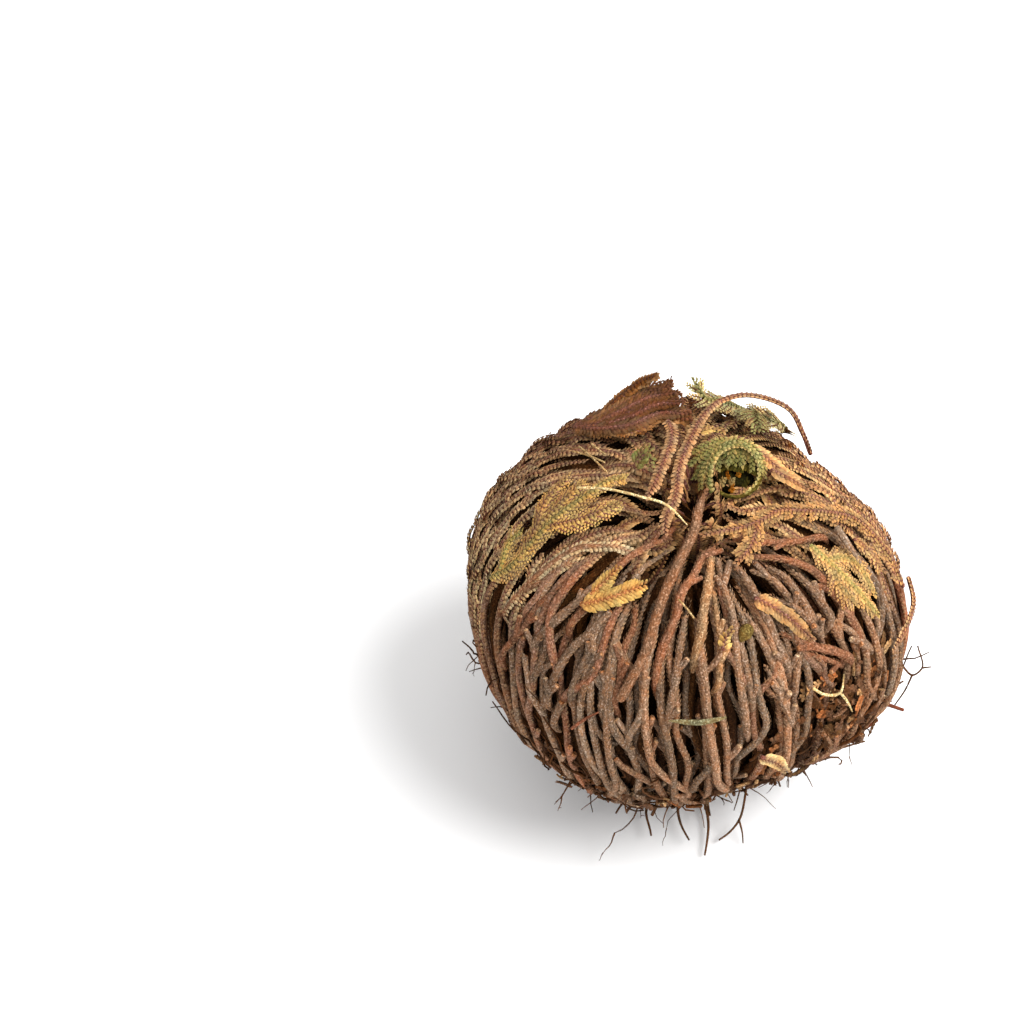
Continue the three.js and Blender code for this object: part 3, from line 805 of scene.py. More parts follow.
def side_stems(growth, layer, bearing, line, reach, bark, count):
    """Side stems that fork off a bare stem, lie over its neighbours and run on beside them."""
    random = growth.random
    start = leafy_from(bearing)
    bare = places_on(line, (reach > start + 24) & (reach < 128), 20)
    for _ in range(count if len(bare) else 0):
        at = random.choice(bare)
        broken = random.random() < 0.4
        span = random.uniform(8, 22) if broken else reach[at] - random.uniform(24, 40)
        if span < 6:
            continue
        t = np.linspace(0, 1, max(12, int(span * 1.6)))
        aside = random.choice([-1, 1]) * random.uniform(0.35, 1.0) * 180 / layer["count"]
        run = reach[at] - span * t
        swing = aside * ease(-0.05, min(1.0, 20 / span), t) + drift(random, 0.7, 0.6)(t)
        rise = (0.7 + random.uniform(0.1, 0.9)) * ease(-0.15, min(0.9, 9 / span), t)
        offset = bearing_of(line[at]) - bearing_of(skin(bearing, reach[at], layer["depth"]))
        twig = skin(bearing + offset + swing, run, layer["depth"] - rise + 2.0 * ease(46, 22, run))
        twig = spaced(twig + (line[at] - twig[0]) * (1 - ease(0, 0.3, t))[:, None])
        share = np.linspace(0, 1, len(twig))
        run = np.interp(share, t, run)
        taper = 1 - 0.3 * share if broken else 0.4 + 0.6 * ease(0, 14, run - run[-1])
        leafy = ease(start + 7, start - 9, run) * (not broken)
        core = random.uniform(0.68, 0.88) * taper * (1 - 0.35 * leafy)
        tone = bark * random.uniform(0.85, 1.2)
        growth.tube(twig, core, tone, every=4, end_tone=mix(tone, BROKEN, 0.8) if broken else None)
        leaf = leaf_tone(bearing, run, random, len(twig))
        paint = mix(mix(tone, SCALE, BARE_SCALE_SHARE), leaf, leafy[:, None])
        clad(growth, twig, 1.2 * taper, paint, leafy=leafy, core=core, core_tone=tone)


def side_branchlets(growth, line, reach, bearing):
    """Short leafy branchlets that leave a leafy stem forward, left and right in turn."""
    random = growth.random
    leafy = places_on(line, (reach < leafy_from(bearing) - 6) & (reach > reach.min() + 10), 12)
    if not len(leafy):
        return
    at = leafy[0] + random.integers(0, 8)
    side = random.choice([-1, 1])
    while at < leafy[-1] - 10:
        along, across, over = frame_at(line, at)
        length = random.uniform(4.5, 8.5)
        t = np.linspace(0, 1, max(8, int(length / STEP)))[:, None]
        twig = line[at] + along * length * 0.9 * t + side * across * length * (0.5 * t - 0.2 * t**2)
        twig = twig + over * (0.9 * np.sin(np.pi * np.minimum(1, t * 1.1)) - 0.2 * t)
        wide = 1.05 * (0.35 + 0.65 * ease(1.0, 0.55, t[:, 0]))
        tone = leaf_tone(bearing, reach[at], random, len(t)) * random.uniform(0.85, 1.1)
        grow_twig(growth, twig, 0.4 * (1.1 - t[:, 0]), wide, tone)
        at += random.integers(11, 19)
        side = -side


def make_fronds(layer, extras):
    """A layer of fronds, each of them one piece. The outer ones on the front are bare."""
    outer = layer["leafy"]
    for index in range(layer["count"]):
        bearing = layer["turn"] + 360 * index / layer["count"]
        number = SEED + index * 97 + layer["count"] * 1301
        stems = solid_stems(layer, bearing, dice(number))
        growth = Growth(number)
        bare = not outer or leafy_from(bearing) < 60
        stems += extra_stems(stems, extras, growth.random, 0.3 if bare and outer else 0)
        for stem in stems:
            line, reach, bark = grow_stem(growth, layer, bearing, stem, 1.0 if outer else INNER_DARK)
            if bare:
                grow_stubs(growth, line, reach, bark, 2 if outer else 1)
            if bare and outer:
                side_stems(growth, layer, bearing, line, reach, bark, 1 if stem["extra"] else 2)
            if outer and not stem["extra"]:
                side_branchlets(growth, line, reach, bearing)
        name = f"{layer['name']}_{index + 1:02d}"
        growth.piece(f"{name}_fine", [name], "stem_bark" if bare else "leaf_tan")


make_fronds(OUTER, OUTER_EXTRAS)
make_fronds(INNER, INNER_EXTRAS)

# ---------------------------------------------------------------- between the layers and in the gather

MAT_STEMS = 84
# The mat's two layers: depth and brightness; the deeper layer is painted darker, as shade.
MAT_LAYERS = ((5.6, 0.8), (3.2, 1.2))
FIBRES = 420
GATHER_TIPS = 90


def make_mat():
    """Old stems packed against the heart, so that nothing shows through the ball; their dark colour is
    painted shade.
    """
    growth = Growth(SEED + 301)
    random = growth.random
    for depth, paint in MAT_LAYERS:
        for index in range(MAT_STEMS):
            bearing = (index + random.uniform(-0.3, 0.3)) * 360 / MAT_STEMS
            reach = np.linspace(reach_at_neck(bearing, depth) - 2, random.uniform(22, 34), 46)
            stray = drift(random, 50, 2.2)
            sway = drift(random, 40, 0.5)
            line = skin(bearing + stray(reach), reach, depth + sway(reach) + 3 * ease(50, 16, reach))
            # Painted shade: the mat takes the shade colour and dark bark.
            tone = mix(SHADE, BARK_DARK, random.uniform(0, 1)) * random.uniform(0.7, 1.1) * paint
            growth.tube(line, random.uniform(0.8, 1.2), tone, sides=6)
    growth.piece("inner_mat", [], "stem_bark")


def make_fibres():
    """Thin dark roots that cling to the stems all round the underside."""
    growth = Growth(SEED + 351)
    random = growth.random
    for _ in range(FIBRES):
        bearing = random.uniform(-180, 180)
        start = random.uniform(98, 150)
        t = np.linspace(0, 1, 16)
        reach = np.minimum(start + random.uniform(-26, 26) * t, 152)
        around = bearing + random.uniform(-16, 16) * t / sin_deg(start) + drift(random, 0.5, 1.6)(t)
        depth = random.uniform(0.6, 2.6) + drift(random, 0.5, 0.7)(t)
        if random.random() < 0.3:
            depth = depth - random.uniform(1, 4) * t**3
        line = skin(around, reach, depth)
        line[:, 2] = np.maximum(line[:, 2], 0.4)
        tone = mix(ROOT, BARK_DARK, random.uniform(0, 1)) * random.uniform(0.6, 1.3)
        growth.tube(line, random.uniform(0.16, 0.34) * (1.1 - 0.6 * t), tone, sides=5)
    growth.piece("root_fibres", [], "root")


def make_gather_tips():
    """Leafy tips of the inner fronds, which fill the gather and curl over into it."""
    growth = Growth(SEED + 401)
    random = growth.random
    for index in range(GATHER_TIPS):
        bearing = index * 360 / GATHER_TIPS + random.uniform(-4, 4)
        t = np.linspace(0, 1, 30)
        reach = mix(random.uniform(34, 52), random.uniform(3, 18), t)
        low, high = random.uniform(4.5, 6.5), random.uniform(1.2, 5.0)
        front = ease(20, 85, abs((bearing - BAREST + 180) % 360 - 180))
        if random.random() > 0.12 + 0.88 * front:
            continue
        low, high = low + 2.5 * (1 - front), high + 4 * (1 - front)
        depth = mix(low, high, ease(0, 0.75, t)) + random.uniform(0, 3.5) * ease(0.75, 1, t)
        line = spaced(skin(bearing + drift(random, 1.0, 9)(t), reach, depth))
        tone = leaf_tone(bearing, 30, random, 1) * random.uniform(0.9, 1.4)
        if random.random() < 0.3:
            tone = mix(tone, GOLD, 0.5)
        taper = 0.3 + 0.7 * ease(1.0, 0.75, np.linspace(0, 1, len(line)))
        grow_twig(growth, line, 0.5 * taper, 1.35 * taper, tone, core=0.45)
    growth.piece("gather_tips", [], "leaf_tan")


make_mat()
make_fibres()
make_gather_tips()

# ---------------------------------------------------------------- what lies over the fronds

OVER_DEPTH = -1.35
# The direction to the camera.
FACING = np.array([0, -0.64, 0.77])

# Each line is a list of places: bearing, reach and, where it leaves the skin, its depth.
OVERLAYS = (
    {"name": "stem_over_front", "kind": "stem", "slot": "stem_bark", "wide": 0.92, "tone": BARK, "lines": [
        [[-98, 62], [-93, 45], [-92, 36], [-91, 27], [-88, 17], [-79, 8], [-64, 3], [-37, 3]]]},
    {"name": "branchlet_over_left", "kind": "leafy", "slot": "leaf_tan", "wide": 1.2,
     "tone": mix(TAN, BARK_GREY, 0.35), "lines": [
        [[122, 18], [131, 13], [164, 9], [-159, 8.5], [-143, 9.5], [-133, 12]]]},
    {"name": "frond_arch", "kind": "leafy", "slot": "leaf_tan", "wide": 0.8, "widen": 1.5,
     "tone": mix(TAN, BARK_GREY, 0.25), "lines": [
        [[5, 40], [6, 34, -4.5], [12, 30, -7.6], [30, 26, -6.5], [45, 21, -4.6], [58, 16, -2.8],
         [84, 8, -1.8], [-167, 4], [-124, 5], [-112, 9], [-104, 12]]]},
    {"name": "branch_toothed_right", "kind": "feather", "slot": "leaf_gold", "wide": 1.0, "pinna": 2.5,
     "every": 6, "tone": GOLD * 0.74, "tint": TAN * 0.7, "lines": [
        [[-19, 69], [-18, 62], [-18, 50], [-19, 44], [-23, 35], [-27, 28], [-31, 22], [-40, 18], [-50, 14],
         [-61, 11], [-71, 10]],
        [[-40, 18], [-51, 20], [-60, 21]]]},
    {"name": "spray_gold_right", "kind": "feather", "slot": "leaf_gold", "wide": 0.72, "pinna": 3.2,
     "tone": mix(GOLD, TAN, 0.5), "tint": YELLOW, "midrib": GREEN, "lines": [
        [[-36, 33], [-36, 41], [-35, 50], [-33, 61]],
        [[-36, 39], [-32, 43], [-30, 48], [-31, 57]],
        [[-36, 41], [-38, 45], [-37, 53]]]},
    {"name": "stick_right", "kind": "stem", "slot": "stem_bark", "wide": 0.7, "tone": BARK_GREY, "lines": [
        [[-27, 38, -2.2], [-29, 41, -2.6], [-31, 46, -3.2]]]},
    {"name": "spray_gold_left", "kind": "feather", "slot": "leaf_gold", "wide": 0.72, "pinna": 3.4,
     "tone": GOLD, "tint": YELLOW, "midrib": GREEN, "lines": [
        [[-144, 62], [-139, 53], [-139, 43], [-141, 35], [-144, 27], [-149, 21], [-150, 17]],
        [[-138, 50], [-142, 42], [-148, 39], [-156, 33]],
        [[-142, 41], [-145, 34], [-151, 28]],
        [[-139, 38], [-135, 29], [-135, 19]],
        [[-142, 57], [-145, 51], [-144, 47]]]},
    {"name": "twig_gold_front", "kind": "leafy", "slot": "leaf_gold", "wide": 2.1,
     "tone": YELLOW * 0.9, "midrib": BROKEN, "lines": [
        [[-114, 42], [-108, 36], [-99, 27]]]},
    {"name": "straw", "kind": "stem", "slot": "straw", "wide": 0.26, "tone": STRAW, "lines": [
        [[-145, 28, -3.6], [-141, 21, -3.4], [-131, 13, -3.3], [-118, 8, -3.3], [-85, 8, -3.2]]]},
    {"name": "leaflet_green_left", "kind": "leafy", "slot": "leaf_green", "wide": 1.6,
     "tone": GREEN, "lines": [
        [[-158, 15, -1.6], [-165, 14, -2.8], [-173, 13, -3.4]],
        [[-158, 15, -1.6], [-165, 12, -3.4], [-155, 10.5, -2.6]]]},
    {"name": "clump_green_back", "kind": "feather", "slot": "leaf_green", "wide": 0.8, "pinna": 4.0,
     "upright": 0.8, "tone": GREEN, "tint": PALE_GREEN, "midrib": DEEP_GREEN, "lines": [
        [[40, 40, -0.9], [30, 33, -2.6], [24, 28, -2.6], [16, 26]],
        [[22, 42, -0.9], [17, 36, -2.6], [24, 31, -2.6], [37, 31]],
        [[40, 39, -0.9], [48, 29, -2.4], [62, 25, -3.4], [72, 26, -6.5]]]},
    {"name": "frond_brown_back", "kind": "feather", "slot": "leaf_brown", "wide": 1.0, "pinna": 2.6,
     "upright": 0.6, "lean": 30, "tone": BROWN * 0.8, "tint": BROWN * 1.15, "midrib": BARK_DARK, "lines": [
        [[170, 42], [165, 36], [147, 34, -3.5], [129, 31, -6], [115, 27, -8]],
        [[170, 42], [169, 34], [146, 30, -2.2], [117, 29, -3.5], [97, 28, -6]],
        [[170, 42], [174, 32], [165, 23], [129, 21], [80, 17]]]},
    {"name": "twig_across_front", "kind": "stem", "slot": "stem_bark", "wide": 0.6,
     "spindle": True, "tone": SAGE, "lines": [
        [[-87, 66, -1.2], [-80, 66, -1.3], [-74, 65, -1.2]]]},
    {"name": "flake_low_right", "kind": "leafy", "slot": "straw", "wide": 1.6, "tone": STRAW, "lines": [
        [[-67, 84, -1.2], [-63, 88, -1.5], [-60, 93, -2]]]},
    {"name": "strand_right", "kind": "leafy", "slot": "leaf_tan", "wide": 1.0, "tone": TAN, "lines": [
        [[-13, 73], [-18, 74, -2.2], [-23, 74, -2.2], [-31, 75]]]},
)


def deep(places):
    """The places as an array, at the overlays' depth where they give none."""
    return np.array([(*place, OVER_DEPTH)[:3] for place in places], float)


def overlay_line(places):
    return even_line(skin(*deep(places).T))


def grow_feather(growth, line, up, wide, tone, midrib, pinna=3.2, every=3, lean=48):
    """A flat frond: narrow leafy pinnae set close on both sides of a midrib, each with a dark midline.

    pinna is their length, every is how many points of the line they stand apart, and lean is the
    angle between them and the midrib.
    """
    random = growth.random
    along, across, over = line_frames(line, up)
    left = np.linspace(1, 0, len(line))
    taper = tip_taper(left)
    growth.tube(line, 0.4 * taper, midrib, sides=5, up=up, every=3)
    paint = tone * random.uniform(0.82, 1.15, (len(line), 1))
    clad(growth, line, 0.9 * taper, paint, up=up, core=0.4, core_tone=midrib)
    for at in range(2, len(line) - 3, every):
        for side in (-1, 1):
            size = pinna * (0.45 + 0.55 * ease(0, 0.45, left[at])) * random.uniform(0.85, 1.15)
            t = np.linspace(0, 1, max(6, int(size / 0.36)))[:, None]
            turn = np.radians(lean * random.uniform(0.9, 1.1)) * (1 - 0.45 * t)
            way = np.cos(turn) * along[at] + side * np.sin(turn) * across[at]
            sag = 0.1 + random.uniform(0.1, 0.7) * t**2
            twig = line[at] + np.cumsum(way, 0) * size / len(t) - over[at] * sag
            shade = mix(tone, TAN * 0.8, random.uniform(0, 0.6)) * random.uniform(0.72, 1.12)
            core_tone = mix(midrib, MIDRIB, 0.6)
            growth.tube(twig, 0.26 * (1.2 - t[:, 0]), core_tone, sides=4, up=up[at], every=2)
            grow_fringe(growth, twig - 0.06 * over[at], wide * (1.1 - 0.5 * t[:, 0]), shade, over[at])


def grow_fringe(growth, line, wide, tone, up):
    """Small scale leaves in two rows on a thin pinna."""
    count = len(line)
    random = growth.random
    along, across, over = line_frames(line, np.broadcast_to(up, line.shape))
    spread = np.radians(random.uniform(30, 42, count))[:, None]
    tip = np.cos(spread) * along + np.sin(spread) * in_turn(count) * across + 0.12 * over
    paint = tone * random.uniform(0.85, 1.12, (count, 1))
    # Leaf bases darker: partly the midrib's colour, partly painted shade in the gaps between the pinnae.
    low_tone = mix(paint * 0.55, MIDRIB, 0.45)
    growth.leaves(NARROW_LEAF, line, tip, over, wide * 1.5, wide * 0.5, 0.16, paint, low_tone, bend=0.08)


def tip_taper(left):
    """How a branchlet tapers over its last 5 mm, from the share of it that is left at each point."""
    return 0.35 + 0.65 * ease(0, 5, left * len(left) * STEP)


def grow_overlay(growth, piece, line):
    """One line of an overlay: a bare stem, a feathered frond or a leafy branchlet."""
    random = growth.random
    t = np.linspace(0, 1, len(line))
    taper = tip_taper(1 - t)
    wide, tone, midrib = piece["wide"], piece["tone"], piece.get("midrib", MIDRIB)
    if piece["kind"] == "stem":
        spindle = piece.get("spindle")
        if spindle:
            taper = 0.25 + 0.75 * np.sin(np.pi * t) ** 0.7
        tone = tone * random.uniform(0.9, 1.1)
        growth.tube(line, wide * taper, tone, every=3)
        if wide > 0.6 and not spindle:
            clad(growth, line, wide, tone * 1.15, leafy=0.0, core=wide * taper, core_tone=tone)
        return
    up = unit(outward(line) + piece.get("upright", 0) * FACING)
    if piece["kind"] == "feather":
        tone = mix(tone, piece.get("tint", tone), random.uniform(0, 1))
        midrib = mix(MIDRIB, midrib, random.uniform(0, 0.8))
        form = {key: piece[key] for key in ("pinna", "every", "lean") if key in piece}
        grow_feather(growth, line, up, wide, tone, midrib, **form)
        return
    tone = tone * random.uniform(0.82, 1.15, (len(line), 1))
    wide = wide * (1 + (piece.get("widen", 1) - 1) * ease(0.35, 0.6, t)) * taper
    grow_twig(growth, line, 0.5 * taper, wide, tone, up=up, core=0.5, core_tone=midrib, sides=6)


def make_overlays():
    for number, piece in enumerate(OVERLAYS):
        growth = Growth(SEED + 7 * number)
        for places in piece["lines"]:
            grow_overlay(growth, piece, overlay_line(places))
        growth.piece(f"{piece['name']}_fine", [piece["name"]], piece["slot"])


make_overlays()

# ---------------------------------------------------------------- stems and bits that only this scene has

STEM_TONES = {"red": mix(BARK, BARK_RED, 0.45), "grey": mix(BARK, BARK_GREY, 0.5), "tan": mix(BARK, TAN, 0.3),
              "cut": mix(BARK, BARK_GREY, 0.6), "leafy": BARK}
# Stems that lie over the front ones: kind, thickness and places, from below to the gather.
FRONT_STEMS = (
    ("red", 0.7, [[-139, 86], [-134, 75], [-128, 62], [-126, 53], [-123, 44], [-122, 34]]),
    ("grey", 0.95, [[-125, 69], [-123, 62], [-119, 51], [-116, 43], [-114, 35], [-114, 28]]),
    ("red", 0.85, [[-115, 56], [-115, 50], [-113, 42], [-112, 33], [-112, 25], [-110, 17], [-104, 10]]),
    ("grey", 0.8, [[-126, 85], [-124, 77], [-121, 68], [-119, 59], [-117, 53]]),
    ("cut", 0.9, [[-119, 83], [-118, 76], [-115, 64], [-112, 54], [-109, 48], [-106, 39]]),
    ("cut", 0.8, [[-112, 77], [-111, 70], [-110, 63], [-108, 55], [-107, 50]]),
    ("cut", 0.85, [[-103, 78], [-103, 69], [-102, 60], [-102, 54], [-101, 48]]),
    ("red", 0.85, [[-100, 74], [-100, 65], [-99, 59], [-99, 53], [-99, 46], [-98, 40], [-100, 34]]),
    ("red", 0.95, [[-90, 62], [-90, 52], [-89, 44], [-86, 33], [-85, 26], [-80, 20], [-72, 14], [-61, 13]]),
    ("grey", 0.9, [[-93, 75], [-93, 66], [-93, 57], [-94, 52], [-93, 46]]),
    ("grey", 0.85, [[-88, 74], [-87, 65], [-86, 58], [-85, 50], [-84, 40], [-83, 32]]),
    ("cut", 0.85, [[-119, 91], [-117, 83], [-114, 74]]),
    ("grey", 0.65, [[-108, 75], [-108, 68], [-107, 61], [-107, 55]]),
    ("leafy", 0.7, [[-138, 70], [-136, 64], [-131, 46], [-128, 34], [-124, 29], [-120, 25], [-114, 22]]),
    ("leafy", 0.7, [[-134, 64], [-132, 54], [-129, 48], [-127, 41], [-124, 35]]),
    ("tan", 1.0, [[-81, 51], [-80, 44], [-78, 37], [-77, 31], [-75, 26], [-71, 19], [-67, 14]]),
    ("tan", 0.7, [[-77, 60], [-75, 54], [-74, 47], [-73, 42], [-73, 35], [-72, 26]]),
    ("grey", 0.85, [[-69, 81], [-70, 72], [-70, 62], [-70, 53], [-69, 40], [-68, 33], [-68, 26], [-64, 16]]),
    ("grey", 0.8, [[-68, 70], [-68, 63], [-68, 54], [-68, 46], [-67, 37]]),
    ("grey", 1.0, [[-58, 62], [-58, 55], [-59, 47], [-59, 41], [-59, 35], [-59, 24], [-60, 18]]),
    ("grey", 0.9, [[-58, 71], [-60, 65], [-61, 55], [-62, 47], [-63, 41], [-64, 34]]),
    ("grey", 0.85, [[-55, 82], [-57, 76], [-60, 68], [-62, 59], [-63, 53]]),
    ("grey", 0.9, [[-48, 55], [-48, 48], [-48, 42], [-48, 37], [-48, 32], [-50, 27]]),
    ("grey", 0.9, [[-46, 55], [-44, 51], [-44, 46], [-44, 41], [-44, 34]]),
    ("red", 0.9, [[-40, 70], [-39, 63], [-39, 56], [-39, 51], [-40, 45], [-40, 38], [-45, 28], [-54, 20]]),
    ("grey", 0.85, [[-47, 57], [-48, 51], [-50, 44], [-51, 40], [-54, 36]]),
    ("red", 1.0, [[-42, 73], [-43, 66], [-46, 60], [-50, 55], [-54, 49], [-57, 45]]),
    ("red", 0.65, [[-43, 71], [-47, 63], [-51, 57], [-55, 52]]),
    ("grey", 0.7, [[-50, 43], [-51, 39], [-51, 35], [-52, 30], [-55, 25]]),
    ("red", 0.75, [[-27, 41], [-30, 36], [-35, 31], [-41, 25], [-46, 19], [-51, 14]]),
    ("grey", 0.8, [[-35, 76], [-37, 69], [-40, 60], [-43, 51]]),
    ("grey", 0.8, [[-33, 71], [-32, 65], [-32, 61]]),
)


def make_front_stems():
    """Bare stems that wander over the front ones; those that are cut have broken off short."""
    growth = Growth(SEED + 451)
    random = growth.random
    for kind, thick, places in FRONT_STEMS:
        cut = kind == "cut"
        bearing, reach = np.array(places, float).T
        depth = random.uniform(-0.3, 0.25) + 2.6 * ease(30, 10, reach)
        depth[0] += 2.6
        if not cut:
            depth[-1] += 0.9
        line = even_line(skin(bearing, reach, depth))
        t = np.linspace(0, 1, len(line))
        bearing, reach = (np.interp(t, np.linspace(0, 1, len(places)), x) for x in (bearing, reach))
        tone = STEM_TONES[kind] * random.uniform(0.85, 1.15)
        # Painted shade: darker in the hollows and low on the left; and up to a third lighter towards the
        # gather.
        tone = tone * (hollow_shade(bearing, reach) * (1 + 0.3 * ease(36, 16, reach)))[:, None]
        knots = 1 + drift(random, 0.3, 0.08)(t)
        core = 0.92 * thick * knots * (0.55 + 0.45 * ease(0, 0.12, t))
        core = core * (1 if cut else 0.6 + 0.4 * ease(1, 0.6, t))
        growth.tube(line, core, tone, sides=9, every=3, end_tone=BROKEN if cut else None)
        if kind == "leafy":
            clad(growth, line, 1.15, DUN, leafy=0.9, core=core * 0.64, core_tone=tone)
        else:
            clad(growth, line, 1.15, mix(tone, SCALE, BARE_SCALE_SHARE), leafy=0.0, core=core, core_tone=tone)
            grow_stubs(growth, line, np.full(len(line), 90.0), tone.mean(0), 2)
    growth.piece("front_stems", [], "stem_bark")


# Small sprays, leaves and threads between the large ones.
BITS = (
    {"kind": "leafy", "wide": 1.7, "tone": mix(TAN, GOLD, 0.5) * 0.75, "lines": [
        [[-60, 32, -0.9], [-57, 36, -0.9], [-54, 42, -0.8], [-51, 51, -0.6]],
        [[-12, 20], [-16, 25], [-18, 30]]]},
    {"kind": "feather", "wide": 0.7, "pinna": 2.6, "tone": mix(TAN, YELLOW, 0.4), "lines": [
        [[-25, 45], [-24, 51], [-24, 58]]]},
    {"kind": "leafy", "wide": 1.3, "tone": YELLOW, "lines": [
        [[-73, 43, -1.6], [-72, 40, -1.6], [-70, 38, -1.6]],
        [[63, 12, -1.0], [48, 14, -1.0], [33, 15, -1.0]]]},
    {"kind": "leafy", "wide": 1.5, "tone": YELLOW * 0.9, "midrib": BROKEN, "lines": [
        [[-113, 38, -1.2], [-111.5, 33, -1.5], [-110.5, 27.5, -1.8]]]},
    {"kind": "stem", "wide": 1.5, "spindle": True, "tone": mix(GREEN, BROWN, 0.75) * 0.7, "lines": [
        [[-68, 42, -0.6], [-66, 40, -0.6], [-64, 38, -0.6]]]},
    {"kind": "stem", "wide": 0.32, "tone": BARK_RED * 1.1, "lines": [
        [[-111, 80, -0.7], [-107, 74, -0.8], [-103, 69, -0.7]]]},
    {"kind": "stem", "wide": 0.3, "tone": STRAW * 0.8, "lines": [
        [[-53, 66, -1.0], [-50, 71, -1.0], [-47, 74, -1.0], [-46, 68, -1.0]],
        [[-47, 74, -1.0], [-46, 79, -1.0], [-45, 85, -1.0]]]},
)
# Thin dry hairs that lie over everything.
HAIRS = (
    [[-168, 33.5, -2.0], [-163, 27.5, -2.4], [-158, 22.5, -2.6]],
    [[-170, 32, -2.2], [-162, 26.7, -2.7], [-151.6, 21.3, -2.8]],
    [[-172, 29, -2.1], [-167.7, 26.2, -2.5], [-163.7, 23.2, -2.4]],
    [[-85.5, 28.2, -2.3], [-83, 30, -2.4], [-80.3, 33.1, -2.0]],
)
# Broken bits in the hollows, dark partly as painted shade: bearing, reach, spread of both, how many, and how
# bright they are.
LITTER = ((-46, 83, 7, 8, 150, 0.9), (-104, 112, 16, 4, 60, 0.7), (-70, 108, 14, 4, 50, 0.7))
BROWN_SPRAYS = 18


def grow_brown_sprays(growth):
    """Sprays between the lines of the brown frond, which fill the lobe at the back left."""
    random = growth.random
    lobe = next(piece["lines"] for piece in OVERLAYS if piece["name"] == "frond_brown_back")
    lobe = np.array([deep(places) for places in lobe])
    for _ in range(BROWN_SPRAYS):
        share = random.dirichlet([0.8, 0.8, 0.8])
        bearing, reach, depth = np.tensordot(share, lobe, 1).T
        depth = depth * random.uniform(0.3, 1.0) - 0.4
        start = random.uniform(0, 0.45)
        line = smooth_line(skin(bearing + random.uniform(-4, 4), reach + random.uniform(-2, 3), depth))
        line = spaced(line[int(start * len(line)) :])
        piece = {"kind": "leafy", "wide": random.uniform(1.3, 2.1), "upright": 0.7,
                 "tone": mix(BROWN, TAN, random.uniform(0, 0.4)) * random.uniform(0.3, 0.95)}
        grow_overlay(growth, piece, line)


def grow_litter(growth, where, high, wide, tall, count, bright):
    """Short bits that lie on the skin in all directions, half of them leafy."""
    random = growth.random
    for _ in range(count):
        start = skin(where + random.normal(0, wide), high + random.normal(0, tall), random.uniform(-0.3, 1.8))
        way = random.normal(0, 1, 3)
        way = unit(way - (way @ outward(start)) * outward(start))
        t = np.linspace(0, 1, random.integers(4, 9))[:, None]
        line = start + way * t * len(t) * 0.4 + random.normal(0, 0.3, 3) * t**2
        ripe = random.choice([BROKEN, BARK, TAN], p=[0.2, 0.5, 0.3])
        # Partly painted shade: the bits are mixed towards dark bark and dimmed by their heap's brightness.
        tone = mix(BARK_DARK, ripe, random.uniform(0, 1) ** 1.6) * bright
        growth.tube(line, random.uniform(0.2, 0.42), tone, sides=6)
        if random.random() < 0.5:
            clad(growth, line, random.uniform(0.7, 1.2), tone * 1.2, core=0.25, core_tone=tone * 0.6)


def make_bits():
    """Loose sprays, threads, litter and hairs."""
    growth = Growth(SEED + 471)
    for piece in BITS:
        for places in piece["lines"]:
            grow_overlay(growth, piece, overlay_line(places))
    grow_brown_sprays(growth)
    for heap in LITTER:
        grow_litter(growth, *heap)
    for places in HAIRS:
        growth.tube(overlay_line(places), 0.2, mix(BROWN, STRAW, 0.4), sides=5)
    growth.piece("loose_bits", [], "leaf_brown")


make_front_stems()
make_bits()

# ---------------------------------------------------------------- the curl in the gather

CURL_CENTRE = np.array([7.8, 3.8, 77.2])
CURL_RADIUS = 5.1
CURL_FACE = 50
CURL_TEETH = 11
CURL_PALE = colour(0xD8BA78)
CURL_GREEN = colour(0x625820)
# The curl's rim and the roll behind it, painted nearly black as the shade in the curl's hole: where each
# starts and ends in degrees, how far it is from the centre and to the front, and how thick it is.
CURL_RIM = (178, 350, 34, CURL_RADIUS + 0.1, 0.9, 0.42)
CURL_BACK = (0, 330, 20, 2.4, -2.8, 2.3)
# Leafy ribbons: half width, how green they are, and places right, up and forward of the curl's centre.
CURL_RIBBONS = (
    (0.8, 0.1, [[-4.4, -4.6, 1.4], [-5.0, -1.5, 1.9], [-4.2, 2.2, 1.8], [-2.0, 4.4, 1.5], [1.0, 4.9, 1.2],
                [3.6, 3.4, 1.0], [4.8, 0.9, 0.8], [4.6, -2.0, 0.8], [3.0, -4.0, 0.8]]),
    (1.1, 0.25, [[-2.8, 4.6, 0.3], [0, 5.7, 0], [3.2, 4.7, 0], [5.2, 2.1, 0], [5.6, -0.6, 0.2]]),
    (1.0, 0.5, [[-1.0, 5.2, -0.6], [-3.8, 4.2, -0.4], [-6.6, 2.6, -0.6], [-8.6, 0.8, -1.2]]),
    (1.0, 0.6, [[-1.6, 4.6, 0.2], [-4.4, 2.8, 0.6], [-6.4, 0.6, 0.3], [-7.6, -1.8, -0.5]]),
    (0.9, 0.4, [[0.4, 5.4, -1.4], [-3.0, 5.6, -1.4], [-6.0, 4.6, -1.8], [-8.2, 3.2, -2.4]]),
    (0.9, 0.3, [[-3.4, 3.4, 1.0], [-5.4, 0.6, 1.2], [-6.4, -1.6, 0.8], [-6.4, -3.6, 0]]),
    (1.0, 0.7, [[1.6, 4.4, -1.6], [4.0, 3.4, -1.6], [5.0, 0.6, -1.6], [4.2, -2.4, -1.4]]),
)
CURL_STALK = [[2.6, 5.0, -0.8], [5.6, 3.0, -0.6], [8.4, 0.8, -0.8], [11.2, -0.9, -1.8]]
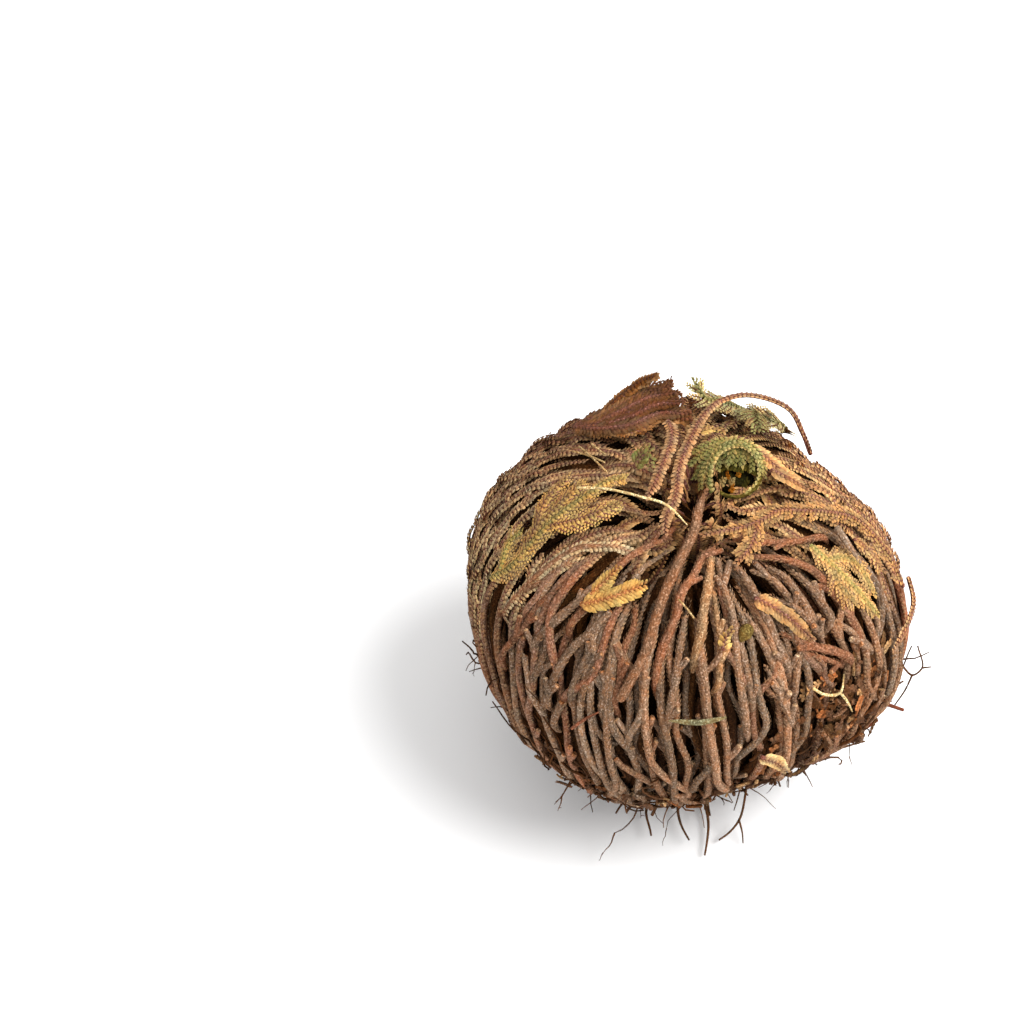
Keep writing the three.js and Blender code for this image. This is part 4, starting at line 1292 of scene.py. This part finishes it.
# Small leafy bits inside the curl: colour and places.
CURL_BITS = (
    (ORANGE, [[-1.6, -1.6, -1.2], [-1.2, -0.9, -0.4]]),
    (ORANGE, [[0.3, -1.0, -1.2], [0.8, -0.4, -0.6]]),
    (ORANGE * 0.7, [[-0.9, -4.0, -0.6], [-0.2, -3.4, 0]]),
    (CURL_PALE * 0.8, [[-2.8, -3.2, -1.0], [-2.1, -1.9, -0.4]]),
    (CURL_PALE * 0.7, [[-0.9, -3.0, -1.0], [-0.5, -1.9, -0.4]]),
    (CURL_GREEN, [[0.4, 1.0, -0.6], [2.2, 0.6, 0], [4.2, -0.3, 0.2]]),
    (CURL_GREEN * 0.8, [[-3.4, 0.4, -0.9], [-1.4, 0.6, -0.5], [1.2, 0.1, -0.5]]),
    (CURL_GREEN * 0.6, [[1.4, -3.4, -1.2], [2.4, -2.0, -0.7]]),
    (CURL_PALE * 0.5, [[-3.0, -1.0, -1.6], [-3.6, -0.2, -1.0]]),
)


def make_curl():
    """A frond rolled up like a watch spring that faces the front: leafy hoops one behind the other."""
    growth = Growth(SEED + 501)
    random = growth.random
    right = np.array([1.0, 0, 0])
    face = np.array([0, -cos_deg(CURL_FACE), sin_deg(CURL_FACE)])
    rise = np.cross(face, right)

    def placed(places, step=STEP):
        return even_line(CURL_CENTRE + np.array(places, float) @ np.array([right, rise, face]), step)

    def hoop(start, end, count, out, forward, radius, tone, sides):
        turn = np.linspace(start, end, count)[:, None]
        spoke = cos_deg(turn) * right + sin_deg(turn) * rise
        growth.tube(CURL_CENTRE + spoke * out + face * forward, radius, tone, sides=sides, up=spoke)

    for wide, green, places in CURL_RIBBONS:
        line = placed(places)
        up = unit(0.6 * unit(line - CURL_CENTRE) + face)
        t = np.linspace(0, 1, len(line))
        tone = mix(CURL_PALE, CURL_GREEN, green) * random.uniform(0.82, 1.12, (len(t), 1))
        growth.tube(line, 0.34 * (1.1 - 0.6 * t), GREEN * 0.5, sides=5, up=up, every=2)
        clad(growth, line, wide * (1.05 - 0.45 * t**2), tone, up=up, core=0.32, core_tone=GREEN * 0.6)
    line = placed(CURL_STALK)
    growth.tube(line, 0.42, MIDRIB, sides=6, up=face, every=3)
    clad(growth, line, 1.5, mix(TAN, GOLD, 0.4), up=unit(face + outward(line)), core=0.42)
    for k in range(CURL_TEETH):
        aside = -3.6 + 7.4 * (k + 0.5 * random.random()) / CURL_TEETH
        high = np.sqrt(max(0.1, (CURL_RADIUS - 0.5) ** 2 - aside**2))
        size = random.uniform(2.2, 3.6)
        near = random.uniform(-1.4, 1.2)
        lean = random.uniform(-0.8, 1.6)
        line = placed([[aside, high, near], [aside + 0.3 * lean, high - 0.6 * size, near + 0.3],
                       [aside + lean, high - size, near + 0.5]])
        wide = 0.95 * (1.05 - 0.6 * np.linspace(0, 1, len(line)))
        tone = mix(CURL_PALE, CURL_GREEN, random.uniform(0.1, 0.9)) * random.uniform(0.6, 1.0)
        grow_twig(growth, line, 0.22, wide, tone, up=face, core=0.25, core_tone=GREEN * 0.5, sides=4)
    for paint, places in CURL_BITS:
        line = placed(places, 0.36)
        wide = 0.85 * (1.1 - 0.5 * np.linspace(0, 1, len(line)))
        growth.tube(line, 0.3, paint * 0.6, sides=5, up=face, every=2)
        clad(growth, line, wide, paint, up=unit(face + 0.5 * rise), core=0.25, core_tone=paint * 0.5)
    hoop(*CURL_RIM, mix(CURL_GREEN, BROWN, 0.2) * 0.6, 6)
    # Painted shade: the roll behind the curl is nearly black.
    hoop(*CURL_BACK, CURL_GREEN * 0.1, 8)
    growth.piece("frond_green_curl_fine", ["frond_green_curl"], "leaf_green")


make_curl()

# ---------------------------------------------------------------- the heart

HEART_DEPTH = 7.2
HEART_RIDGE = 2.2
HEART_HOLLOW = 7
HEART_RIDGES = 10
HEART_AROUND = 120
HEART_DOWN = 60
# Its fine ridges: how many, how much they lean and how high they are.
HEART_FINE = ((47, 0.2, 0.5), (31, -0.3, 0.3))
HEART_TIPS = 9
HEART_TIP_TURN = 8
HEART_TIP_REACH = 8.5
HEART_TIP_DEPTH = 2.6


def make_heart():
    """The core of rolled-up fronds, painted dark as shade, with curled leafy tips that stand out of it."""
    growth = Growth(SEED + 601)
    turn = np.linspace(-180, 180, HEART_AROUND, endpoint=False)
    turn, reach = np.meshgrid(turn, np.linspace(0, 180, HEART_DOWN + 1)[1:-1])
    around = np.radians(turn)
    rough = HEART_RIDGE * (0.5 - 0.5 * np.cos(around * HEART_RIDGES))
    for count, lean, high in HEART_FINE:
        rough = rough + 0.4 * high * np.sin(around * count + reach * lean)
    rough = rough * ease(6, 24, reach) * ease(176, 150, reach)
    depth = HEART_DEPTH + rough + HEART_HOLLOW * ease(70, 25, reach)
    poles = skin([0, 0], [0.01, 179.99], [HEART_DEPTH + HEART_HOLLOW, HEART_DEPTH], 0)
    points = np.vstack([skin(turn, reach, depth, 0).reshape(-1, 3), poles])
    # Painted shade: the heart takes the shade colour and dark bark.
    tones = mix(SHADE, BARK_DARK, 0.35) * growth.random.uniform(0.8, 1.2, (len(points), 1))
    growth.add(points, shell_faces(len(reach), HEART_AROUND), tones, points)
    for i in range(HEART_TIPS):
        heart_tip(growth, HEART_TIP_TURN + 360 * i / HEART_TIPS, 0.0)
        heart_tip(growth, HEART_TIP_TURN + 360 * (i + 0.5) / HEART_TIPS, 1.6)
    growth.piece("heart_fine", ["heart"], "leaf_brown")


def heart_tip(growth, bearing, deeper):
    """A leafy tip that rises out of the heart's hollow and curls over."""
    t = np.linspace(0, 1, 34)
    low = HEART_DEPTH + HEART_HOLLOW + 1
    depth = low - (low - HEART_TIP_DEPTH - deeper) * sin_deg(135 * t)
    line = spaced(skin(bearing, HEART_TIP_REACH * (1 - 0.7 * t**3), depth))
    spoke = unit(skin(bearing, 40, 0, 0) - skin(bearing, 2, 0, 0))
    tone = mix(TAN, GOLD, growth.random.uniform(0, 0.7)) * growth.random.uniform(0.6, 0.9)
    growth.tube(line, 0.4, MIDRIB * 0.7, sides=5, up=spoke, every=3)
    clad(growth, line, 1.5, tone, up=spoke, core=0.4)


make_heart()

# ---------------------------------------------------------------- the root crown

FLAT_RADIUS = 11
NECK_TOP = 10
# The crown's outline from its top down to its flat underside: radius and height.
CROWN = ((0, NECK_TOP), (NECK_RADIUS - 1, NECK_TOP), (NECK_RADIUS - 0.3, 9.2), (NECK_RADIUS, 4),
         (FLAT_RADIUS + 2, 2.3), (FLAT_RADIUS + 1.6, 0.8), (FLAT_RADIUS, 0), (0, 0))
CROWN_AROUND = 64
CROWN_ROUGH = 0.02
ROOTLETS = 20
# Azimuth, length, how far each rises and how far it sways.
LONG_ROOTLETS = ((-6, 45.5, 17, 8), (-16, 39, 6, 6), (-72, 34, 0, -6), (158, 36, 3, 10))
FINE_ROOTLETS = 110
ROOT_UP = np.array([0.3, 0.2, 1.0])


def grow_crown(growth):
    """A turned body with a rough skin."""
    outline = np.array(CROWN, float)
    turn = np.linspace(0, 2 * np.pi, CROWN_AROUND, endpoint=False)
    ripple = 1 + CROWN_ROUGH * (np.sin(7 * turn) + np.sin(13 * turn + 1) + np.sin(23 * turn + 2)) / 3
    radius = outline[1:-1, :1] * ripple
    height = np.broadcast_to(outline[1:-1, 1:], radius.shape)
    points = np.stack([radius * np.cos(turn), radius * np.sin(turn), height], -1).reshape(-1, 3)
    points = np.vstack([points, [0, 0, outline[0, 1]], [0, 0, outline[-1, 1]]])
    growth.add(points, shell_faces(len(outline) - 2, CROWN_AROUND), ROOT, points)


def solid_rootlet(growth, azimuth, length, lift, sway):
    """One of the rootlets that the solid crown has."""
    t = np.linspace(0, 1, 16)
    out = mix(FLAT_RADIUS - 1, length, t)
    turn = azimuth + sway * t * t + drift(growth.random, 0.6, 1.2)(t) * t
    radius = 0.95 * (1 - 0.58 * t)
    height = radius + 0.95 - 0.35 * t + lift * t * t
    line = np.stack([out * cos_deg(turn), out * sin_deg(turn), height], -1)
    growth.tube(line, radius * 0.5, ROOT * growth.random.uniform(0.8, 1.4), sides=6, up=np.array([0, 0, 1.0]))


def make_crown():
    """The flat crown and its rootlets, which follow the solids' dice."""
    growth = Growth(SEED + 701)
    grow_crown(growth)
    random = dice(SEED)
    for i in range(ROOTLETS):
        azimuth = (i + 0.6 * random()) * 360 / ROOTLETS
        solid_rootlet(growth, azimuth, 22 + 9 * random(), 4 * random(), 20 * (random() - 0.5))
    for rootlet in LONG_ROOTLETS:
        solid_rootlet(growth, *rootlet)
    growth.piece("root_crown_fine", ["root_crown"], "root")


make_crown()

# Roots that stand out of the ball: radius, colour and points in millimetres.
SEEN_ROOTS = (
    (0.26, ROOT, [[39.0, -1.0, 34], [43.6, -3.9, 31], [46.4, -5.5, 29], [48.3, -4.3, 30], [46.9, -3.6, 36]]),
    (0.2, ROOT, [[48.3, -4.3, 30], [50.1, -3.9, 30]]),
    (0.22, ROOT, [[46.4, -5.5, 29], [45.3, -6.3, 25], [43.5, -7.9, 22]]),
    (0.3, ROOT, [[14.7, -17.7, 14], [14.6, -19, 10], [14.4, -20.6, 7], [13.5, -25.6, 4], [11.6, -27.8, 2],
                 [9.5, -29.3, 1]]),
    (0.22, ROOT, [[13.3, -26.1, 4], [14.1, -27.7, 2], [14.4, -29.7, 1]]),
    (0.26, ROOT, [[23.7, -14.2, 13], [25.1, -14.9, 10], [26.5, -16.6, 8]]),
    (0.55, RED_ROOT, [[27.5, -16.4, 12], [31.6, -14.3, 14], [35.8, -12.4, 17], [40, -11.3, 21]]),
    (0.5, RED_ROOT, [[37.9, -8.7, 24], [41.4, -8.6, 23], [45.2, -9.1, 22]]),
    (0.45, ROOT, [[-8, -22, 14], [-11.5, -23.4, 10], [-15.4, -23.8, 8]]),
    (0.5, ROOT, [[-2, -22, 10], [-3.6, -24, 5], [-4.5, -24.8, 2]]),
    (0.4, ROOT, [[-9, -23, 10], [-8.6, -24.6, 6], [-9.8, -25.2, 3]]),
    (0.2, ROOT, [[-22.6, -22.5, 14], [-20.1, -22.3, 9], [-18.6, -22, 6]]),
)


def grow_root(growth, start, way, length, radius, level=0):
    """A thin root that wanders down from its start and forks."""
    random = growth.random
    steps = max(5, int(length / 1.6))
    line = [start]
    for _ in range(steps):
        way = unit(way + random.normal(0, 0.22, 3) + np.array([0, 0, -0.03]))
        following = line[-1] + way * length / steps
        following[2] = max(following[2], radius + 0.15)
        line.append(following)
        if level < 2 and random.random() < 0.13:
            aside = unit(way + random.normal(0, 0.7, 3))
            grow_root(growth, following, aside, length * 0.4, radius * 0.7, level + 1)
    tone = mix(ROOT, BARK_DARK, random.uniform(0, 1)) * random.uniform(0.8, 1.5)
    growth.tube(np.array(line), np.linspace(radius, radius * 0.35, len(line)), tone, sides=5, up=ROOT_UP)


def make_rootlets():
    """Roots that stand out of the underside, with side rootlets."""
    growth = Growth(SEED + 801)
    random = growth.random
    for radius, tone, points in SEEN_ROOTS:
        line = smooth_line(points, 8)
        radius = np.linspace(radius, 0.7 * radius, len(line))
        growth.tube(line, radius, tone * random.uniform(0.8, 1.2), sides=6, up=ROOT_UP)
    for _ in range(FINE_ROOTLETS):
        start = skin(random.uniform(-180, 180), random.uniform(112, 158), 2.0)
        way = outward(start) * 0.6 + random.normal(0, 0.6, 3)
        grow_root(growth, start, way, random.uniform(5, 13), random.uniform(0.16, 0.3))
    growth.piece("rootlets_fine", [], "root")


make_rootlets()

# ---------------------------------------------------------------- floor, light and camera

FLOOR_SIZE = 6
FLOOR_DROP = 0.0002
FLOOR_WHITE = 0.97
WORLD_LIGHT = 0.92
LIGHT_PLACE = Vector((0.6, -0.12, 0.85))
LIGHT_SIZE = 0.8
LIGHT_POWER = 16.0
VIEW_ELEVATION = 50
LENS = 120.0
SENSOR = 36.0
PHOTO_SIDE = 1024
PIXEL = 0.202 * MM
BALL_X_PX, BALL_Y_PX = 692, 590


def look_at(holder, place, target):
    """Puts a light or the camera in its place, pointing at the target."""
    holder.location = place
    holder.rotation_euler = (target - place).to_track_quat("-Z", "Y").to_euler()


def make_floor():
    """The pale floor under the plant."""
    bpy.ops.mesh.primitive_plane_add(size=FLOOR_SIZE, location=(0, 0, -FLOOR_DROP))
    floor = bpy.context.object
    floor.name = "floor"
    look = bpy.data.materials.new("pale_floor")
    look.use_nodes = True
    shader = look.node_tree.nodes["Principled BSDF"]
    shader.inputs["Base Color"].default_value = (FLOOR_WHITE, FLOOR_WHITE, FLOOR_WHITE, 1)
    shader.inputs["Roughness"].default_value = 0.9
    floor.data.materials.append(look)


def make_light():
    light = bpy.data.lights.new("key", "AREA")
    light.shape = "DISK"
    light.size = LIGHT_SIZE
    light.energy = LIGHT_POWER
    look_at(put("key", light), LIGHT_PLACE, Vector((0, 0, 0.04)))


def make_camera():
    """The photograph's camera: it looks past the ball by as much as the ball is off the middle."""
    camera = bpy.data.cameras.new("camera")
    camera.lens = LENS
    camera.sensor_width = SENSOR
    camera.clip_start = 0.01
    camera.clip_end = 20
    holder = put("camera", camera)
    bpy.context.scene.camera = holder
    up = Vector((0, sin_deg(VIEW_ELEVATION), cos_deg(VIEW_ELEVATION)))
    back = Vector((0, -cos_deg(VIEW_ELEVATION), sin_deg(VIEW_ELEVATION)))
    ball = Vector((MIDDLE[0], MIDDLE[1], BALL_CENTRE_Z)) * MM
    half = PHOTO_SIDE / 2
    aim = ball - Vector((BALL_X_PX - half, 0, 0)) * PIXEL + up * (BALL_Y_PX - half) * PIXEL
    look_at(holder, ball + back * PIXEL * PHOTO_SIDE * LENS / SENSOR, aim)


def make_world():
    world = bpy.data.worlds.new("studio")
    bpy.context.scene.world = world
    world.use_nodes = True
    background = world.node_tree.nodes["Background"]
    background.inputs["Color"].default_value = (1, 1, 1, 1)
    background.inputs["Strength"].default_value = WORLD_LIGHT


bpy.context.scene.view_settings.view_transform = "Standard"
make_floor()
make_world()
make_light()
make_camera()
